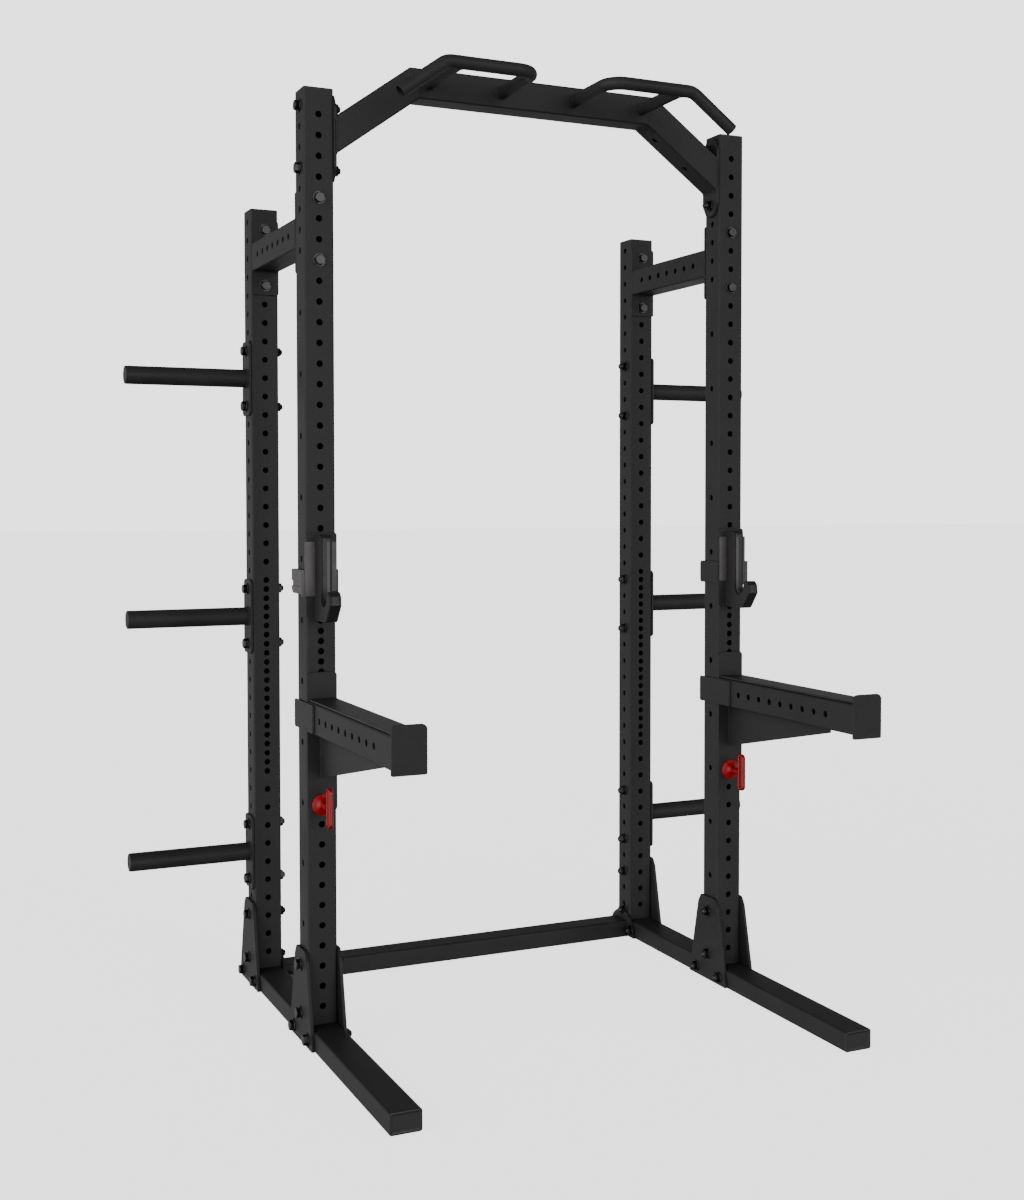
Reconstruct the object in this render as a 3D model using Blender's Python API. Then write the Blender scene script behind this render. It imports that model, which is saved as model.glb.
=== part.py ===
"""Half rack (open-front power cage) for barbell training, as an assembly of separate pieces.

Metres, +Z up, the open front of the rack faces -Y and +X is to the right.
The origin is on the floor, in the middle of the whole rack's outer box.
"""
import math

import bmesh
import bpy
from mathutils import Matrix, Vector

# ---- driving dimensions ----------------------------------------------------
TUBE = 0.075                 # outer width of the square upright tube
WALL = 0.003                 # wall of every steel tube
CORNER = 0.006               # outer corner radius of the square tube
GAP = 0.0003                 # play between pieces that touch
BITE = 0.0005                # overlap between shapes that are welded into one piece
CUT_PAST = 0.010             # how far a cutter runs past the face it cuts
UPRIGHT_SPAN = 1.165         # between the centres of the left and right uprights
UPRIGHT_DEPTH = 0.510        # between the centres of the front and rear uprights
FRONT_HEIGHT = 2.335         # top of the front uprights, cap included
REAR_HEIGHT = 2.127          # top of the rear uprights, cap included
RAIL_HEIGHT = 0.050          # base rails and rear crossmember
CAP_FLANGE = 0.004           # plastic cap on a tube's end
PLUG_DEPTH = 0.012           # part of the cap that is pushed into the tube

ARM_REACH = 0.664            # from the front uprights' centres to the tip of the arms
RAIL_FRONT = 0.635           # from the front uprights' centres to the rails' front ends
RAIL_REAR = 0.075            # from the rear uprights' centres to the rails' rear ends

HOLE_RADIUS = 0.0088         # hexagon with the area of a 16 mm round hole
HOLE_SIDES = 6
HOLE_PITCH = 0.050
FINE_PITCH = 0.025           # bench zone
HOLE_TOP = 2.270
FINE_TOP = 1.120
FINE_BOTTOM = 0.595
HOLE_BOTTOM = 0.095
SIDE_HOLE_TOP = 2.295        # holes in the front uprights' side faces
SIDE_HOLE_DENSE = 1.945      # close together above this height
SIDE_HOLE_WIDE_PITCH = 0.150
SIDE_HOLE_BOTTOM = 0.295
REAR_SIDE_HOLE_TOP = 2.095
PIN_RADIUS = 0.0072          # pegs, lock pins and bolt shanks
PIN_SIDES = 8

# ---- derived positions -----------------------------------------------------
HALF = TUBE / 2
UPRIGHT_X = UPRIGHT_SPAN / 2
GUSSET_FOOT = 0.098          # half length of a gusset at the floor
TOTAL_DEPTH = ARM_REACH + UPRIGHT_DEPTH + GUSSET_FOOT
FRONT_Y = ARM_REACH - TOTAL_DEPTH / 2
REAR_Y = FRONT_Y + UPRIGHT_DEPTH
FACE_Y = FRONT_Y - HALF      # front face of the front uprights
SIDES = (("left", -1), ("right", 1))

# ---- side members and rear crossmember -------------------------------------
SIDE_MEMBER_Z = 1.995
SIDE_PLATE = 0.006
SIDE_PLATE_HEIGHT = 0.200
SIDE_BOLT_OFFSET = 0.075     # bolts above and below the member's centre
SIDE_HOLE_COUNT = 7
CROSS_PLATE = 0.008
CROSS_PLATE_RADIUS = 0.076

# ---- pull-up bar -----------------------------------------------------------
BEAM_Z = 2.3735
BEAM_CORNER_X = 0.3345       # where the beam's centre line bends down
LEG_ANGLE = math.radians(36)
LEG_HOLES = (0.076, 0.191)   # along a leg's underside, from the bend
END_PLATE = 0.008
END_PLATE_HEIGHT = 0.210
END_PLATE_Z = 2.220
END_BOLT_OFFSET = 0.075
GRIP_RADIUS = 0.016
GRIP_WALL = 0.003
GRIP_SIDES = 8
GRIP_OUT = 0.215             # from the beam's front face to the grip's centre line
GRIP_INNER_X = 0.100
GRIP_OUTER_X = 0.300
GRIP_BEND = 0.045
GRIP_TAIL = 0.144            # sloping part at the free end

# ---- gussets at the uprights' feet -----------------------------------------
GUSSET_THICK = 0.008
GUSSET_TOP_Z = 0.235
GUSSET_TOP = 0.036           # half length along the top edge
GUSSET_SHOULDER = 0.048
GUSSET_SHOULDER_Z = 0.218
GUSSET_FLOOR_Z = 0.003

# ---- plate storage pegs ----------------------------------------------------
PEG_HEIGHTS = (("lower", 0.370), ("middle", 1.020), ("upper", 1.670))
PEG_RADIUS = 0.0245
PEG_TIP_X = 0.9515
PEG_PLATE = 0.006
PEG_PLATE_HEIGHT = 0.202
PEG_END = 0.004
PEG_SIDES = 12

# ---- hook-on attachments ---------------------------------------------------
CHEEK = 0.005                # side cheeks that clasp the upright
CHEEK_REAR = 0.050           # how far the cheeks run behind the upright's centre
PLATE = 0.006                # steel plate against the upright's front face
PEG_INSET = 0.025            # how far the pegs reach into the upright
ARM_TUBE_HEIGHT = 0.075
ARM_Z = 0.813
ARM_PLATE_TOP = 0.920
ARM_PLATE_BOTTOM = 0.578
ARM_CHEEK_FRONT = 0.104
ARM_PEG_Z = 0.895
ARM_HOLE_COUNT = 9
ARM_HOLE_FIRST = 0.143       # from the upright's centre
STOP_PLATE = 0.008
STOP_WIDTH = 0.080
STOP_TOP = 0.873
STOP_BOTTOM = 0.766
ARM_GUSSET = 0.008
ARM_GUSSET_DROP = 0.660
ARM_GUSSET_TIP = 0.510
ARM_LINER = 0.005
LOCK_Z = FINE_BOTTOM

CUP_TOP = 1.260
CUP_BOTTOM = 1.047
CUP_PLATE_WIDTH = 0.078
CUP_CHEEK_LOW = 1.111
CUP_CHEEK_HIGH = 1.170
CUP_PEGS = (1.170, 1.220)
HOOK_HALF = 0.015            # the hook is a sandwich: steel, plastic, steel
HOOK_SKIN = 0.005
HOOK_LOW = 1.046
HOOK_TOP = 1.255
HOOK_NECK = 0.044            # depth of the hook above the saddle
SADDLE_Z = 1.106             # centre of the saddle's arc
SADDLE_F = 0.069             # in front of the upright's face
SADDLE_RADIUS = 0.025
LIP_FRONT = 0.119
LIP_TOP = 1.120
LINER_PROUD = 0.003
GUARD_THICK = 0.003          # plastic sheet on the plate
GUARD_LOW = 1.105
GUARD_HIGH = 1.238
PAD_LOW = 1.117
WING_OUTER = 0.052           # outer face of the plastic block on the outer cheek
WING_REAR = 0.038
WING_GROOVE = (1.129, 1.142)
WING_GROOVE_DEPTH = 0.003

HANDLE_DISC = 0.027
HANDLE_LOOP_F = 0.064        # centre of the loop in front of the upright's face
HANDLE_LOOP_HEIGHT = 0.100
HANDLE_LOOP_DEPTH = 0.026
HANDLE_BAR = 0.008
HANDLE_THICK = 0.012

# ---- bolts -----------------------------------------------------------------
BOLT_HEAD = 0.0135           # hexagon's corner radius
BOLT_HEAD_HIGH = 0.010
NUT_HIGH = 0.011
WASHER = 0.0160
WASHER_HIGH = 0.0025


# ---- materials -------------------------------------------------------------
def make_material(name, colour, roughness, metallic):
    """One plain Principled BSDF."""
    material = bpy.data.materials.new(name)
    material.use_nodes = True
    shader = material.node_tree.nodes["Principled BSDF"]
    shader.inputs["Base Color"].default_value = (*colour, 1.0)
    shader.inputs["Roughness"].default_value = roughness
    shader.inputs["Metallic"].default_value = metallic
    material.diffuse_color = (*colour, 1.0)
    return material


def own_material(obj, look):
    """Give each sub-part its own copy of one of the looks."""
    looks = {
        "powder_coat": ((0.030, 0.030, 0.032), 0.48, 0.0),
        "black_cap": ((0.018, 0.018, 0.019), 0.60, 0.0),
        "liner": ((0.070, 0.066, 0.070), 0.55, 0.0),
        "zinc": ((0.045, 0.045, 0.048), 0.35, 1.0),
        "steel_pin": ((0.55, 0.55, 0.56), 0.30, 1.0),
        "red": ((0.62, 0.012, 0.020), 0.40, 0.0),
    }
    obj.data.materials.clear()
    obj.data.materials.append(make_material(obj.name + "_" + look, *looks[look]))


# ---- outlines --------------------------------------------------------------
def arc(centre, radius, start, end, steps):
    """Points along an arc, angles in degrees, both ends included."""
    points = []
    for step in range(steps + 1):
        angle = math.radians(start + (end - start) * step / steps)
        points.append((centre[0] + radius * math.cos(angle), centre[1] + radius * math.sin(angle)))
    return points


def rounded_rectangle(centre, width, height, radius, steps=2):
    """Counter-clockwise rectangle with round corners."""
    across = width / 2 - radius
    up = height / 2 - radius
    corners = ((across, up, 0), (-across, up, 90), (-across, -up, 180), (across, -up, 270))
    points = []
    for dx, dy, start in corners:
        points += arc((centre[0] + dx, centre[1] + dy), radius, start, start + 90, steps)
    return points


def polygon(centre, radius, sides, turn=0.0):
    """Regular polygon."""
    return arc(centre, radius, turn, turn + 360 * (sides - 1) / sides, sides - 1)


# ---- solids ----------------------------------------------------------------
def axis_point(axis, flat, along):
    """A point whose outline coordinates lie across the given axis."""
    if axis == "x":
        return (along, flat[0], flat[1])
    if axis == "y":
        return (flat[0], along, flat[1])
    return (flat[0], flat[1], along)


def finish_mesh(name, bm):
    """Turn a bmesh into an object with outward faces."""
    bmesh.ops.recalc_face_normals(bm, faces=bm.faces)
    mesh = bpy.data.meshes.new(name)
    bm.to_mesh(mesh)
    bm.free()
    obj = bpy.data.objects.new(name, mesh)
    bpy.context.collection.objects.link(obj)
    return obj


def loft(name, rings):
    """Closed solid through rings of equal length."""
    bm = bmesh.new()
    loops = [[bm.verts.new(point) for point in ring] for ring in rings]
    count = len(loops[0])
    for low, high in zip(loops, loops[1:]):
        for i in range(count):
            j = (i + 1) % count
            bm.faces.new((low[i], low[j], high[j], high[i]))
    bm.faces.new(loops[0])
    bm.faces.new(loops[-1])
    return finish_mesh(name, bm)


def prism(name, outline, axis, low, high):
    """An outline extruded along an axis."""
    rings = [[axis_point(axis, point, along) for point in outline] for along in (low, high)]
    return loft(name, rings)


def box(name, x, y, z):
    """A block given by its three ranges."""
    outline = ((x[0], y[0]), (x[1], y[0]), (x[1], y[1]), (x[0], y[1]))
    return prism(name, outline, "z", z[0], z[1])


def turned(name, axis, centre, profile, sides, turn=0.0):
    """A turned solid: profile is a list of (along, radius)."""
    rings = []
    for along, radius in profile:
        ring = polygon(centre, radius, sides, turn)
        rings.append([axis_point(axis, point, along) for point in ring])
    return loft(name, rings)


def rod(name, axis, centre, radius, low, high, sides=PIN_SIDES):
    """A straight round bar."""
    return turned(name, axis, centre, ((low, radius), (high, radius)), sides)


def swept(name, path, radius, sides):
    """A round bar along a path, with mitred rings."""
    rings = []
    for index, point in enumerate(path):
        before = path[max(index - 1, 0)]
        after = path[min(index + 1, len(path) - 1)]
        tangent = (after - before).normalized()
        first = tangent.cross(Vector((0, 0, 1)))
        if first.length < 0.1:
            first = tangent.cross(Vector((0, 1, 0)))
        first.normalize()
        second = tangent.cross(first)
        ring = []
        for side in range(sides):
            angle = 2 * math.pi * (side + 0.5) / sides
            ring.append(point + radius * (math.cos(angle) * first + math.sin(angle) * second))
        rings.append(ring)
    return loft(name, rings)


def joined(first, others, name="group"):
    """Meshes put side by side in one object, for use as one cutter."""
    bm = bmesh.new()
    for obj in (first, *others):
        bm.from_mesh(obj.data)
        bpy.data.objects.remove(obj)
    mesh = bpy.data.meshes.new(name)
    bm.to_mesh(mesh)
    bm.free()
    group = bpy.data.objects.new(name, mesh)
    bpy.context.collection.objects.link(group)
    return group


def combine(base, other, operation):
    """Apply one exact Boolean and drop the other object."""
    modifier = base.modifiers.new("combine", "BOOLEAN")
    modifier.operation = operation
    modifier.solver = "EXACT"
    modifier.object = other
    graph = bpy.context.evaluated_depsgraph_get()
    mesh = bpy.data.meshes.new_from_object(base.evaluated_get(graph))
    base.modifiers.clear()
    base.data = mesh
    bpy.data.objects.remove(other)
    return base


def weld(base, *others):
    """Union of pieces that are welded together."""
    for other in others:
        combine(base, other, "UNION")
    return base


def cut(base, *others):
    """Remove the other shapes from the base."""
    for other in others:
        combine(base, other, "DIFFERENCE")
    return base


def finish(obj, name, look, smooth=False):
    """Name a piece, give it its material and tidy its mesh."""
    obj.name = name
    obj.data.name = name
    bm = bmesh.new()
    bm.from_mesh(obj.data)
    bmesh.ops.remove_doubles(bm, verts=bm.verts, dist=0.000002)
    bmesh.ops.dissolve_degenerate(bm, edges=bm.edges, dist=0.000002)
    bm.to_mesh(obj.data)
    bm.free()
    if smooth:
        obj.data.shade_smooth()
        obj.data.set_sharp_from_angle(angle=math.radians(40))
    own_material(obj, look)
    return obj


def place_origin(obj, point):
    """Move an object's origin without moving its shape."""
    obj.data.transform(Matrix.Translation(-Vector(point)))
    obj.location = point
    return obj


def square_tube(name, axis, centre, width, height, low, high):
    """Hollow tube with round corners, open at both ends."""
    outer = prism(name, rounded_rectangle(centre, width, height, CORNER), axis, low, high)
    inner = rounded_rectangle(centre, width - 2 * WALL, height - 2 * WALL, CORNER - WALL)
    return cut(outer, prism("bore", inner, axis, low - CUT_PAST, high + CUT_PAST))


def hole_cutters(axis, places, low, high):
    """Row of hole cutters; places are outline coordinates across the axis."""
    rods = [rod("hole", axis, place, HOLE_RADIUS, low, high, HOLE_SIDES) for place in places]
    return joined(rods[0], rods[1:])


# ---- uprights --------------------------------------------------------------
def steps_down(top, bottom, pitch):
    """Heights from top to bottom, both included."""
    count = round((top - bottom) / pitch)
    return [top - pitch * i for i in range(count + 1)]


def pin_hole_heights():
    """Front-face holes: coarse at the top and foot, fine in the bench zone."""
    heights = steps_down(HOLE_TOP, FINE_TOP, HOLE_PITCH)
    heights += steps_down(FINE_TOP - FINE_PITCH, FINE_BOTTOM, FINE_PITCH)
    heights += steps_down(FINE_BOTTOM - HOLE_PITCH, HOLE_BOTTOM, HOLE_PITCH)
    return heights


def side_bolt_heights():
    """Bolts that hold the side members to the uprights."""
    return (SIDE_MEMBER_Z - SIDE_BOLT_OFFSET, SIDE_MEMBER_Z + SIDE_BOLT_OFFSET)


def end_bolt_heights():
    """Bolts that hold the pull-up bar to the front uprights."""
    return (END_PLATE_Z - END_BOLT_OFFSET, END_PLATE_Z + END_BOLT_OFFSET)


def make_upright(name, x, y, height):
    """Tube that stands on the base rail, drilled for the side member's bolts."""
    tube = square_tube(name, "z", (x, y), TUBE, TUBE, RAIL_HEIGHT + GAP, height - CAP_FLANGE - GAP)
    places = [(x, z) for z in side_bolt_heights()]
    return cut(tube, hole_cutters("y", places, y - TUBE, y + TUBE))


def front_side_hole_heights():
    """Side-face holes of a front upright, the pull-up bar's bolt holes among them."""
    heights = steps_down(SIDE_HOLE_TOP, SIDE_HOLE_DENSE, HOLE_PITCH)
    first = SIDE_HOLE_DENSE - SIDE_HOLE_WIDE_PITCH
    return heights + steps_down(first, SIDE_HOLE_BOTTOM, SIDE_HOLE_WIDE_PITCH)


def rear_side_hole_heights():
    """Side-face holes of a rear upright, the storage pegs' bolt holes among them."""
    return steps_down(REAR_SIDE_HOLE_TOP, HOLE_BOTTOM, HOLE_PITCH)


def drill_upright(upright, x, y, top, side_heights):
    """Holes in the front wall up to a height, and through both side walls."""
    bolted = side_bolt_heights()
    free = [z for z in pin_hole_heights() if z < top and min(abs(z - b) for b in bolted) > HOLE_RADIUS]
    face = y - HALF
    cut(upright, hole_cutters("y", [(x, z) for z in free], face - CUT_PAST, face + CUT_PAST))
    for near in (x - HALF, x + HALF):
        places = [(y, z) for z in side_heights]
        cut(upright, hole_cutters("x", places, near - CUT_PAST, near + CUT_PAST))
    return upright


def make_uprights():
    for side, sign in SIDES:
        x = sign * UPRIGHT_X
        front = make_upright("upright_front_" + side, x, FRONT_Y, FRONT_HEIGHT)
        drill_upright(front, x, FRONT_Y, FRONT_HEIGHT, front_side_hole_heights())
        finish(front, "upright_front_" + side, "powder_coat")
        rear = make_upright("upright_rear_" + side, x, REAR_Y, REAR_HEIGHT)
        drill_upright(rear, x, REAR_Y, SIDE_MEMBER_Z + SIDE_BOLT_OFFSET, rear_side_hole_heights())
        finish(rear, "upright_rear_" + side, "powder_coat")


def make_cap(name, axis, centre, width, height, end, outward):
    """Plastic cap: a flange on the tube's end and a plug inside it."""
    face = end - outward * CAP_FLANGE
    root = end - outward * (CAP_FLANGE + GAP + PLUG_DEPTH)
    flange = prism(name, rounded_rectangle(centre, width, height, CORNER), axis, face, end)
    slim = 2 * (WALL + GAP)
    plug_outline = rounded_rectangle(centre, width - slim, height - slim, CORNER - WALL)
    plug = prism("plug", plug_outline, axis, root, end - outward * CAP_FLANGE / 2)
    finish(weld(flange, plug), name, "black_cap")


def make_caps():
    for side, sign in SIDES:
        x = sign * UPRIGHT_X
        make_cap("upright_cap_front_" + side, "z", (x, FRONT_Y), TUBE, TUBE, FRONT_HEIGHT, 1)
        make_cap("upright_cap_rear_" + side, "z", (x, REAR_Y), TUBE, TUBE, REAR_HEIGHT, 1)
        centre = (x, RAIL_HEIGHT / 2)
        make_cap("rail_cap_front_" + side, "y", centre, TUBE, RAIL_HEIGHT, FRONT_Y - RAIL_FRONT, -1)
        make_cap("rail_cap_rear_" + side, "y", centre, TUBE, RAIL_HEIGHT, REAR_Y + RAIL_REAR, 1)


# ---- base ------------------------------------------------------------------
def make_rails():
    for side, sign in SIDES:
        low = FRONT_Y - RAIL_FRONT + CAP_FLANGE + GAP
        high = REAR_Y + RAIL_REAR - CAP_FLANGE - GAP
        centre = (sign * UPRIGHT_X, RAIL_HEIGHT / 2)
        rail = square_tube("rail", "y", centre, TUBE, RAIL_HEIGHT, low, high)
        finish(rail, "base_rail_" + side, "powder_coat")


def gusset_outline(y):
    """Tapered plate, wide at the floor, with clipped top corners."""
    right = (
        (GUSSET_FOOT, GUSSET_FLOOR_Z),
        (GUSSET_SHOULDER, GUSSET_SHOULDER_Z),
        (GUSSET_TOP, GUSSET_TOP_Z),
    )
    points = [(y + dy, z) for dy, z in right]
    points += [(y - dy, z) for dy, z in reversed(right)]
    return points


def make_gussets():
    """Outer plates on every upright, and inner plates on the front ones."""
    for side, sign in SIDES:
        near = sign * (UPRIGHT_X + HALF + GAP)
        far = near + sign * GUSSET_THICK
        for end, y in (("front", FRONT_Y), ("rear", REAR_Y)):
            name = "gusset_outer_" + end + "_" + side
            plate = prism(name, gusset_outline(y), "x", near, far)
            finish(plate, name, "powder_coat")
        near = sign * (UPRIGHT_X - HALF - GAP)
        far = near - sign * GUSSET_THICK
        name = "gusset_inner_front_" + side
        finish(prism(name, gusset_outline(FRONT_Y), "x", near, far), name, "powder_coat")


def make_rear_crossmember():
    """Floor tube between the rails with a round-topped bolting plate welded at each end."""
    face = UPRIGHT_X - HALF - GAP
    outline = rounded_rectangle((REAR_Y, RAIL_HEIGHT / 2), TUBE, RAIL_HEIGHT, CORNER)
    member = prism("member", outline, "x", -face + BITE, face - BITE)
    for _, sign in SIDES:
        disc = arc((REAR_Y, 0), CROSS_PLATE_RADIUS, 2, 178, 10)
        plate = prism("plate", disc, "x", sign * (face - CROSS_PLATE), sign * face)
        weld(member, plate)
    slim = 2 * WALL
    bore = rounded_rectangle((REAR_Y, RAIL_HEIGHT / 2), TUBE - slim, RAIL_HEIGHT - slim, CORNER - WALL)
    inside = face - CROSS_PLATE
    cut(member, prism("bore", bore, "x", -inside, inside))
    past = face + CUT_PAST
    cut(member, rod("vent", "x", (REAR_Y, RAIL_HEIGHT / 2), HOLE_RADIUS, -past, past, HOLE_SIDES))
    finish(member, "rear_crossmember", "powder_coat")


# ---- side members ----------------------------------------------------------
def make_side_members():
    """Tube between a front and a rear upright with a bolting plate at each end."""
    low = FRONT_Y + HALF + GAP
    high = REAR_Y - HALF - GAP
    middle = (low + high) / 2
    for side, sign in SIDES:
        x = sign * UPRIGHT_X
        outline = rounded_rectangle((x, SIDE_MEMBER_Z), TUBE - 0.001, TUBE, CORNER)
        member = prism("member", outline, "y", low + BITE, high - BITE)
        face = rounded_rectangle((x, SIDE_MEMBER_Z), TUBE, SIDE_PLATE_HEIGHT, CORNER, 1)
        weld(member, prism("plate", face, "y", low, low + SIDE_PLATE))
        weld(member, prism("plate", face, "y", high - SIDE_PLATE, high))
        slim = 2 * WALL
        bore = rounded_rectangle((x, SIDE_MEMBER_Z), TUBE - slim, TUBE - slim, CORNER - WALL)
        cut(member, prism("bore", bore, "y", low + SIDE_PLATE, high - SIDE_PLATE))
        first = middle - HOLE_PITCH * (SIDE_HOLE_COUNT - 1) / 2
        places = [(first + HOLE_PITCH * i, SIDE_MEMBER_Z) for i in range(SIDE_HOLE_COUNT)]
        cut(member, hole_cutters("x", places, x - TUBE, x + TUBE))
        bolts = [(x, z) for z in side_bolt_heights()]
        cut(member, hole_cutters("y", bolts, low - CUT_PAST, high + CUT_PAST))
        finish(member, "side_member_" + side, "powder_coat")


# ---- pull-up bar -----------------------------------------------------------
def beam_outline(inset, reach):
    """Bent beam seen from the front; inset shrinks it, reach is where the legs end."""
    half = HALF - inset
    shift = half * math.tan(LEG_ANGLE / 2)
    slope = math.tan(LEG_ANGLE)
    lift = half / math.cos(LEG_ANGLE)
    end_z = BEAM_Z - (reach - BEAM_CORNER_X) * slope
    right = [
        (reach, end_z - lift),
        (reach, end_z + lift),
        (BEAM_CORNER_X + shift, BEAM_Z + half),
    ]
    left = [(-x, z) for x, z in reversed(right)]
    under = [(-BEAM_CORNER_X + shift, BEAM_Z - half), (BEAM_CORNER_X - shift, BEAM_Z - half)]
    return right + left + under


def end_plate_outline():
    """Bolting plate with clipped corners, seen from the side."""
    half = HALF
    top = END_PLATE_HEIGHT / 2
    clip_y = 0.020
    clip_z = 0.032
    right = ((half, -top + clip_z), (half, top - clip_z), (half - clip_y, top))
    points = [(FRONT_Y + dy, END_PLATE_Z + dz) for dy, dz in right]
    left = ((-half + clip_y, top), (-half, top - clip_z), (-half, -top + clip_z), (-half + clip_y, -top))
    points += [(FRONT_Y + dy, END_PLATE_Z + dz) for dy, dz in left]
    points.append((FRONT_Y + half - clip_y, END_PLATE_Z - top))
    return points


def make_beam():
    """Bent square beam with a bolting plate welded to the end of each leg."""
    face = UPRIGHT_X - HALF - GAP
    inside = face - END_PLATE
    past = face + CUT_PAST
    beam = prism("beam", beam_outline(0, face - BITE), "y", FRONT_Y - HALF, FRONT_Y + HALF)
    for _, sign in SIDES:
        weld(beam, prism("plate", end_plate_outline(), "x", sign * inside, sign * face))
    wall_y = HALF - WALL
    cut(beam, prism("bore", beam_outline(WALL, inside), "y", FRONT_Y - wall_y, FRONT_Y + wall_y))
    vent_z = BEAM_Z - (inside - BEAM_CORNER_X) * math.tan(LEG_ANGLE)
    cut(beam, rod("vent", "x", (FRONT_Y, vent_z), HOLE_RADIUS, -past, past, HOLE_SIDES))
    places = [(FRONT_Y, z) for z in end_bolt_heights()]
    cut(beam, hole_cutters("x", places, -past, past))
    for _, sign in SIDES:
        along = Vector((sign * math.cos(LEG_ANGLE), 0, -math.sin(LEG_ANGLE)))
        down = Vector((-sign * math.sin(LEG_ANGLE), 0, -math.cos(LEG_ANGLE)))
        under_bend = BEAM_CORNER_X - HALF * math.tan(LEG_ANGLE / 2)
        start = Vector((sign * under_bend, FRONT_Y, BEAM_Z - HALF))
        for distance in LEG_HOLES:
            centre = start + along * distance
            path = [centre + down * CUT_PAST, centre - down * CUT_PAST]
            cut(beam, swept("hole", path, HOLE_RADIUS, HOLE_SIDES))
    finish(beam, "pull_up_beam", "powder_coat")


def rounded_path(corners, radius, steps):
    """Straight runs joined by arcs of the given radius."""
    path = [corners[0]]
    for before, corner, after in zip(corners, corners[1:], corners[2:]):
        into = (corner - before).normalized()
        out = (after - corner).normalized()
        turn = into.angle(out)
        trim = radius * math.tan(turn / 2)
        centre = corner + (out - into).normalized() * radius / math.cos(turn / 2)
        axis = into.cross(out).normalized()
        start = corner - into * trim - centre
        for step in range(steps + 1):
            path.append(centre + Matrix.Rotation(turn * step / steps, 3, axis) @ start)
    path.append(corners[-1])
    return path


def grip_tube(sign, radius, over):
    """Grip and its strut, as one round-bar shape; over lengthens the open ends."""
    face = FACE_Y - GAP
    plane = FACE_Y - GRIP_OUT
    drop = Vector((math.cos(LEG_ANGLE) * sign, 0, -math.sin(LEG_ANGLE)))
    bend = Vector((sign * BEAM_CORNER_X, plane, BEAM_Z))
    corners = [
        Vector((sign * GRIP_INNER_X, face + over, BEAM_Z)),
        Vector((sign * GRIP_INNER_X, plane, BEAM_Z)),
        bend,
        bend + drop * (GRIP_TAIL + over),
    ]
    bar = swept("bar", rounded_path(corners, GRIP_BEND, 3), radius, GRIP_SIDES)
    strut = rod("strut", "y", (sign * GRIP_OUTER_X, BEAM_Z), radius, plane, face + over, GRIP_SIDES)
    return weld(bar, strut)


def make_grips():
    """Bent grip bars in front of the beam, each on two stand-offs."""
    for side, sign in SIDES:
        grip = grip_tube(sign, GRIP_RADIUS, 0.0)
        cut(grip, grip_tube(sign, GRIP_RADIUS - GRIP_WALL, CUT_PAST))
        finish(grip, "grip_bar_" + side, "powder_coat", smooth=True)


# ---- storage pegs ----------------------------------------------------------
def make_storage_pegs():
    """Round pegs for weight plates, welded to a plate on the rear upright's outer face."""
    for side, sign in SIDES:
        near = sign * (UPRIGHT_X + HALF + GAP)
        far = near + sign * PEG_PLATE
        for level, z in PEG_HEIGHTS:
            outline = rounded_rectangle((REAR_Y, z), TUBE, PEG_PLATE_HEIGHT, 0.012, 1)
            peg = prism("plate", outline, "x", near, far)
            tip = sign * PEG_TIP_X
            chamfer = 0.003
            profile = (
                (far - sign * PEG_PLATE / 2, PEG_RADIUS),
                (tip - sign * chamfer, PEG_RADIUS),
                (tip, PEG_RADIUS - chamfer),
            )
            weld(peg, turned("bar", "x", (REAR_Y, z), profile, PEG_SIDES))
            inner = PEG_RADIUS - WALL
            cut(peg, rod("bore", "x", (REAR_Y, z), inner, far, tip - sign * PEG_END, PEG_SIDES))
            past = sign * CUT_PAST
            cut(peg, rod("vent", "x", (REAR_Y, z), HOLE_RADIUS, near - past, far + past, HOLE_SIDES))
            finish(peg, "storage_peg_" + level + "_" + side, "powder_coat", smooth=True)


# ---- J-cups ----------------------------------------------------------------
def at_front(outline):
    """Turn (distance in front of the upright, height) into (y, z)."""
    return [(FACE_Y - f, z) for f, z in outline]


def hook_outline(back, proud):
    """J-shaped side view; proud raises the saddle, the neck and the inside of the lip."""
    outline = [(back, HOOK_LOW), (LIP_FRONT - 0.038, HOOK_LOW)]
    outline += [(LIP_FRONT - 0.028, HOOK_LOW + 0.007), (LIP_FRONT, HOOK_LOW + 0.043)]
    outline += [(LIP_FRONT - 0.003, LIP_TOP - 0.011), (LIP_FRONT - 0.014, LIP_TOP)]
    outline += [(SADDLE_F + SADDLE_RADIUS + 0.002 - proud, LIP_TOP)]
    outline += arc((SADDLE_F, SADDLE_Z), SADDLE_RADIUS - proud, 0, -180, 8)
    outline += [(HOOK_NECK + proud, HOOK_TOP - 0.012), (HOOK_NECK + proud - 0.004, HOOK_TOP - 0.003)]
    outline += [(HOOK_NECK - 0.012, HOOK_TOP), (back, HOOK_TOP)]
    return at_front(outline)


def cheek(centre_x, side_sign, front, z_low, z_high, clip):
    """Side cheek of a hook-on bracket, clipped at its rear corners."""
    near = centre_x + side_sign * (HALF + GAP)
    far = near + side_sign * CHEEK
    rear = FRONT_Y + CHEEK_REAR
    outline = [(front, z_low), (rear - clip, z_low), (rear, z_low + clip), (rear, z_high - clip)]
    outline += [(rear - clip, z_high), (front, z_high)]
    return prism("cheek", outline, "x", near, far)


def pegs(centre_x, heights):
    """Round pegs that enter the upright's front holes."""
    plate_back = FACE_Y - GAP - PLATE / 2
    return [rod("peg", "y", (centre_x, z), PIN_RADIUS, plate_back, FACE_Y + PEG_INSET) for z in heights]


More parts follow.
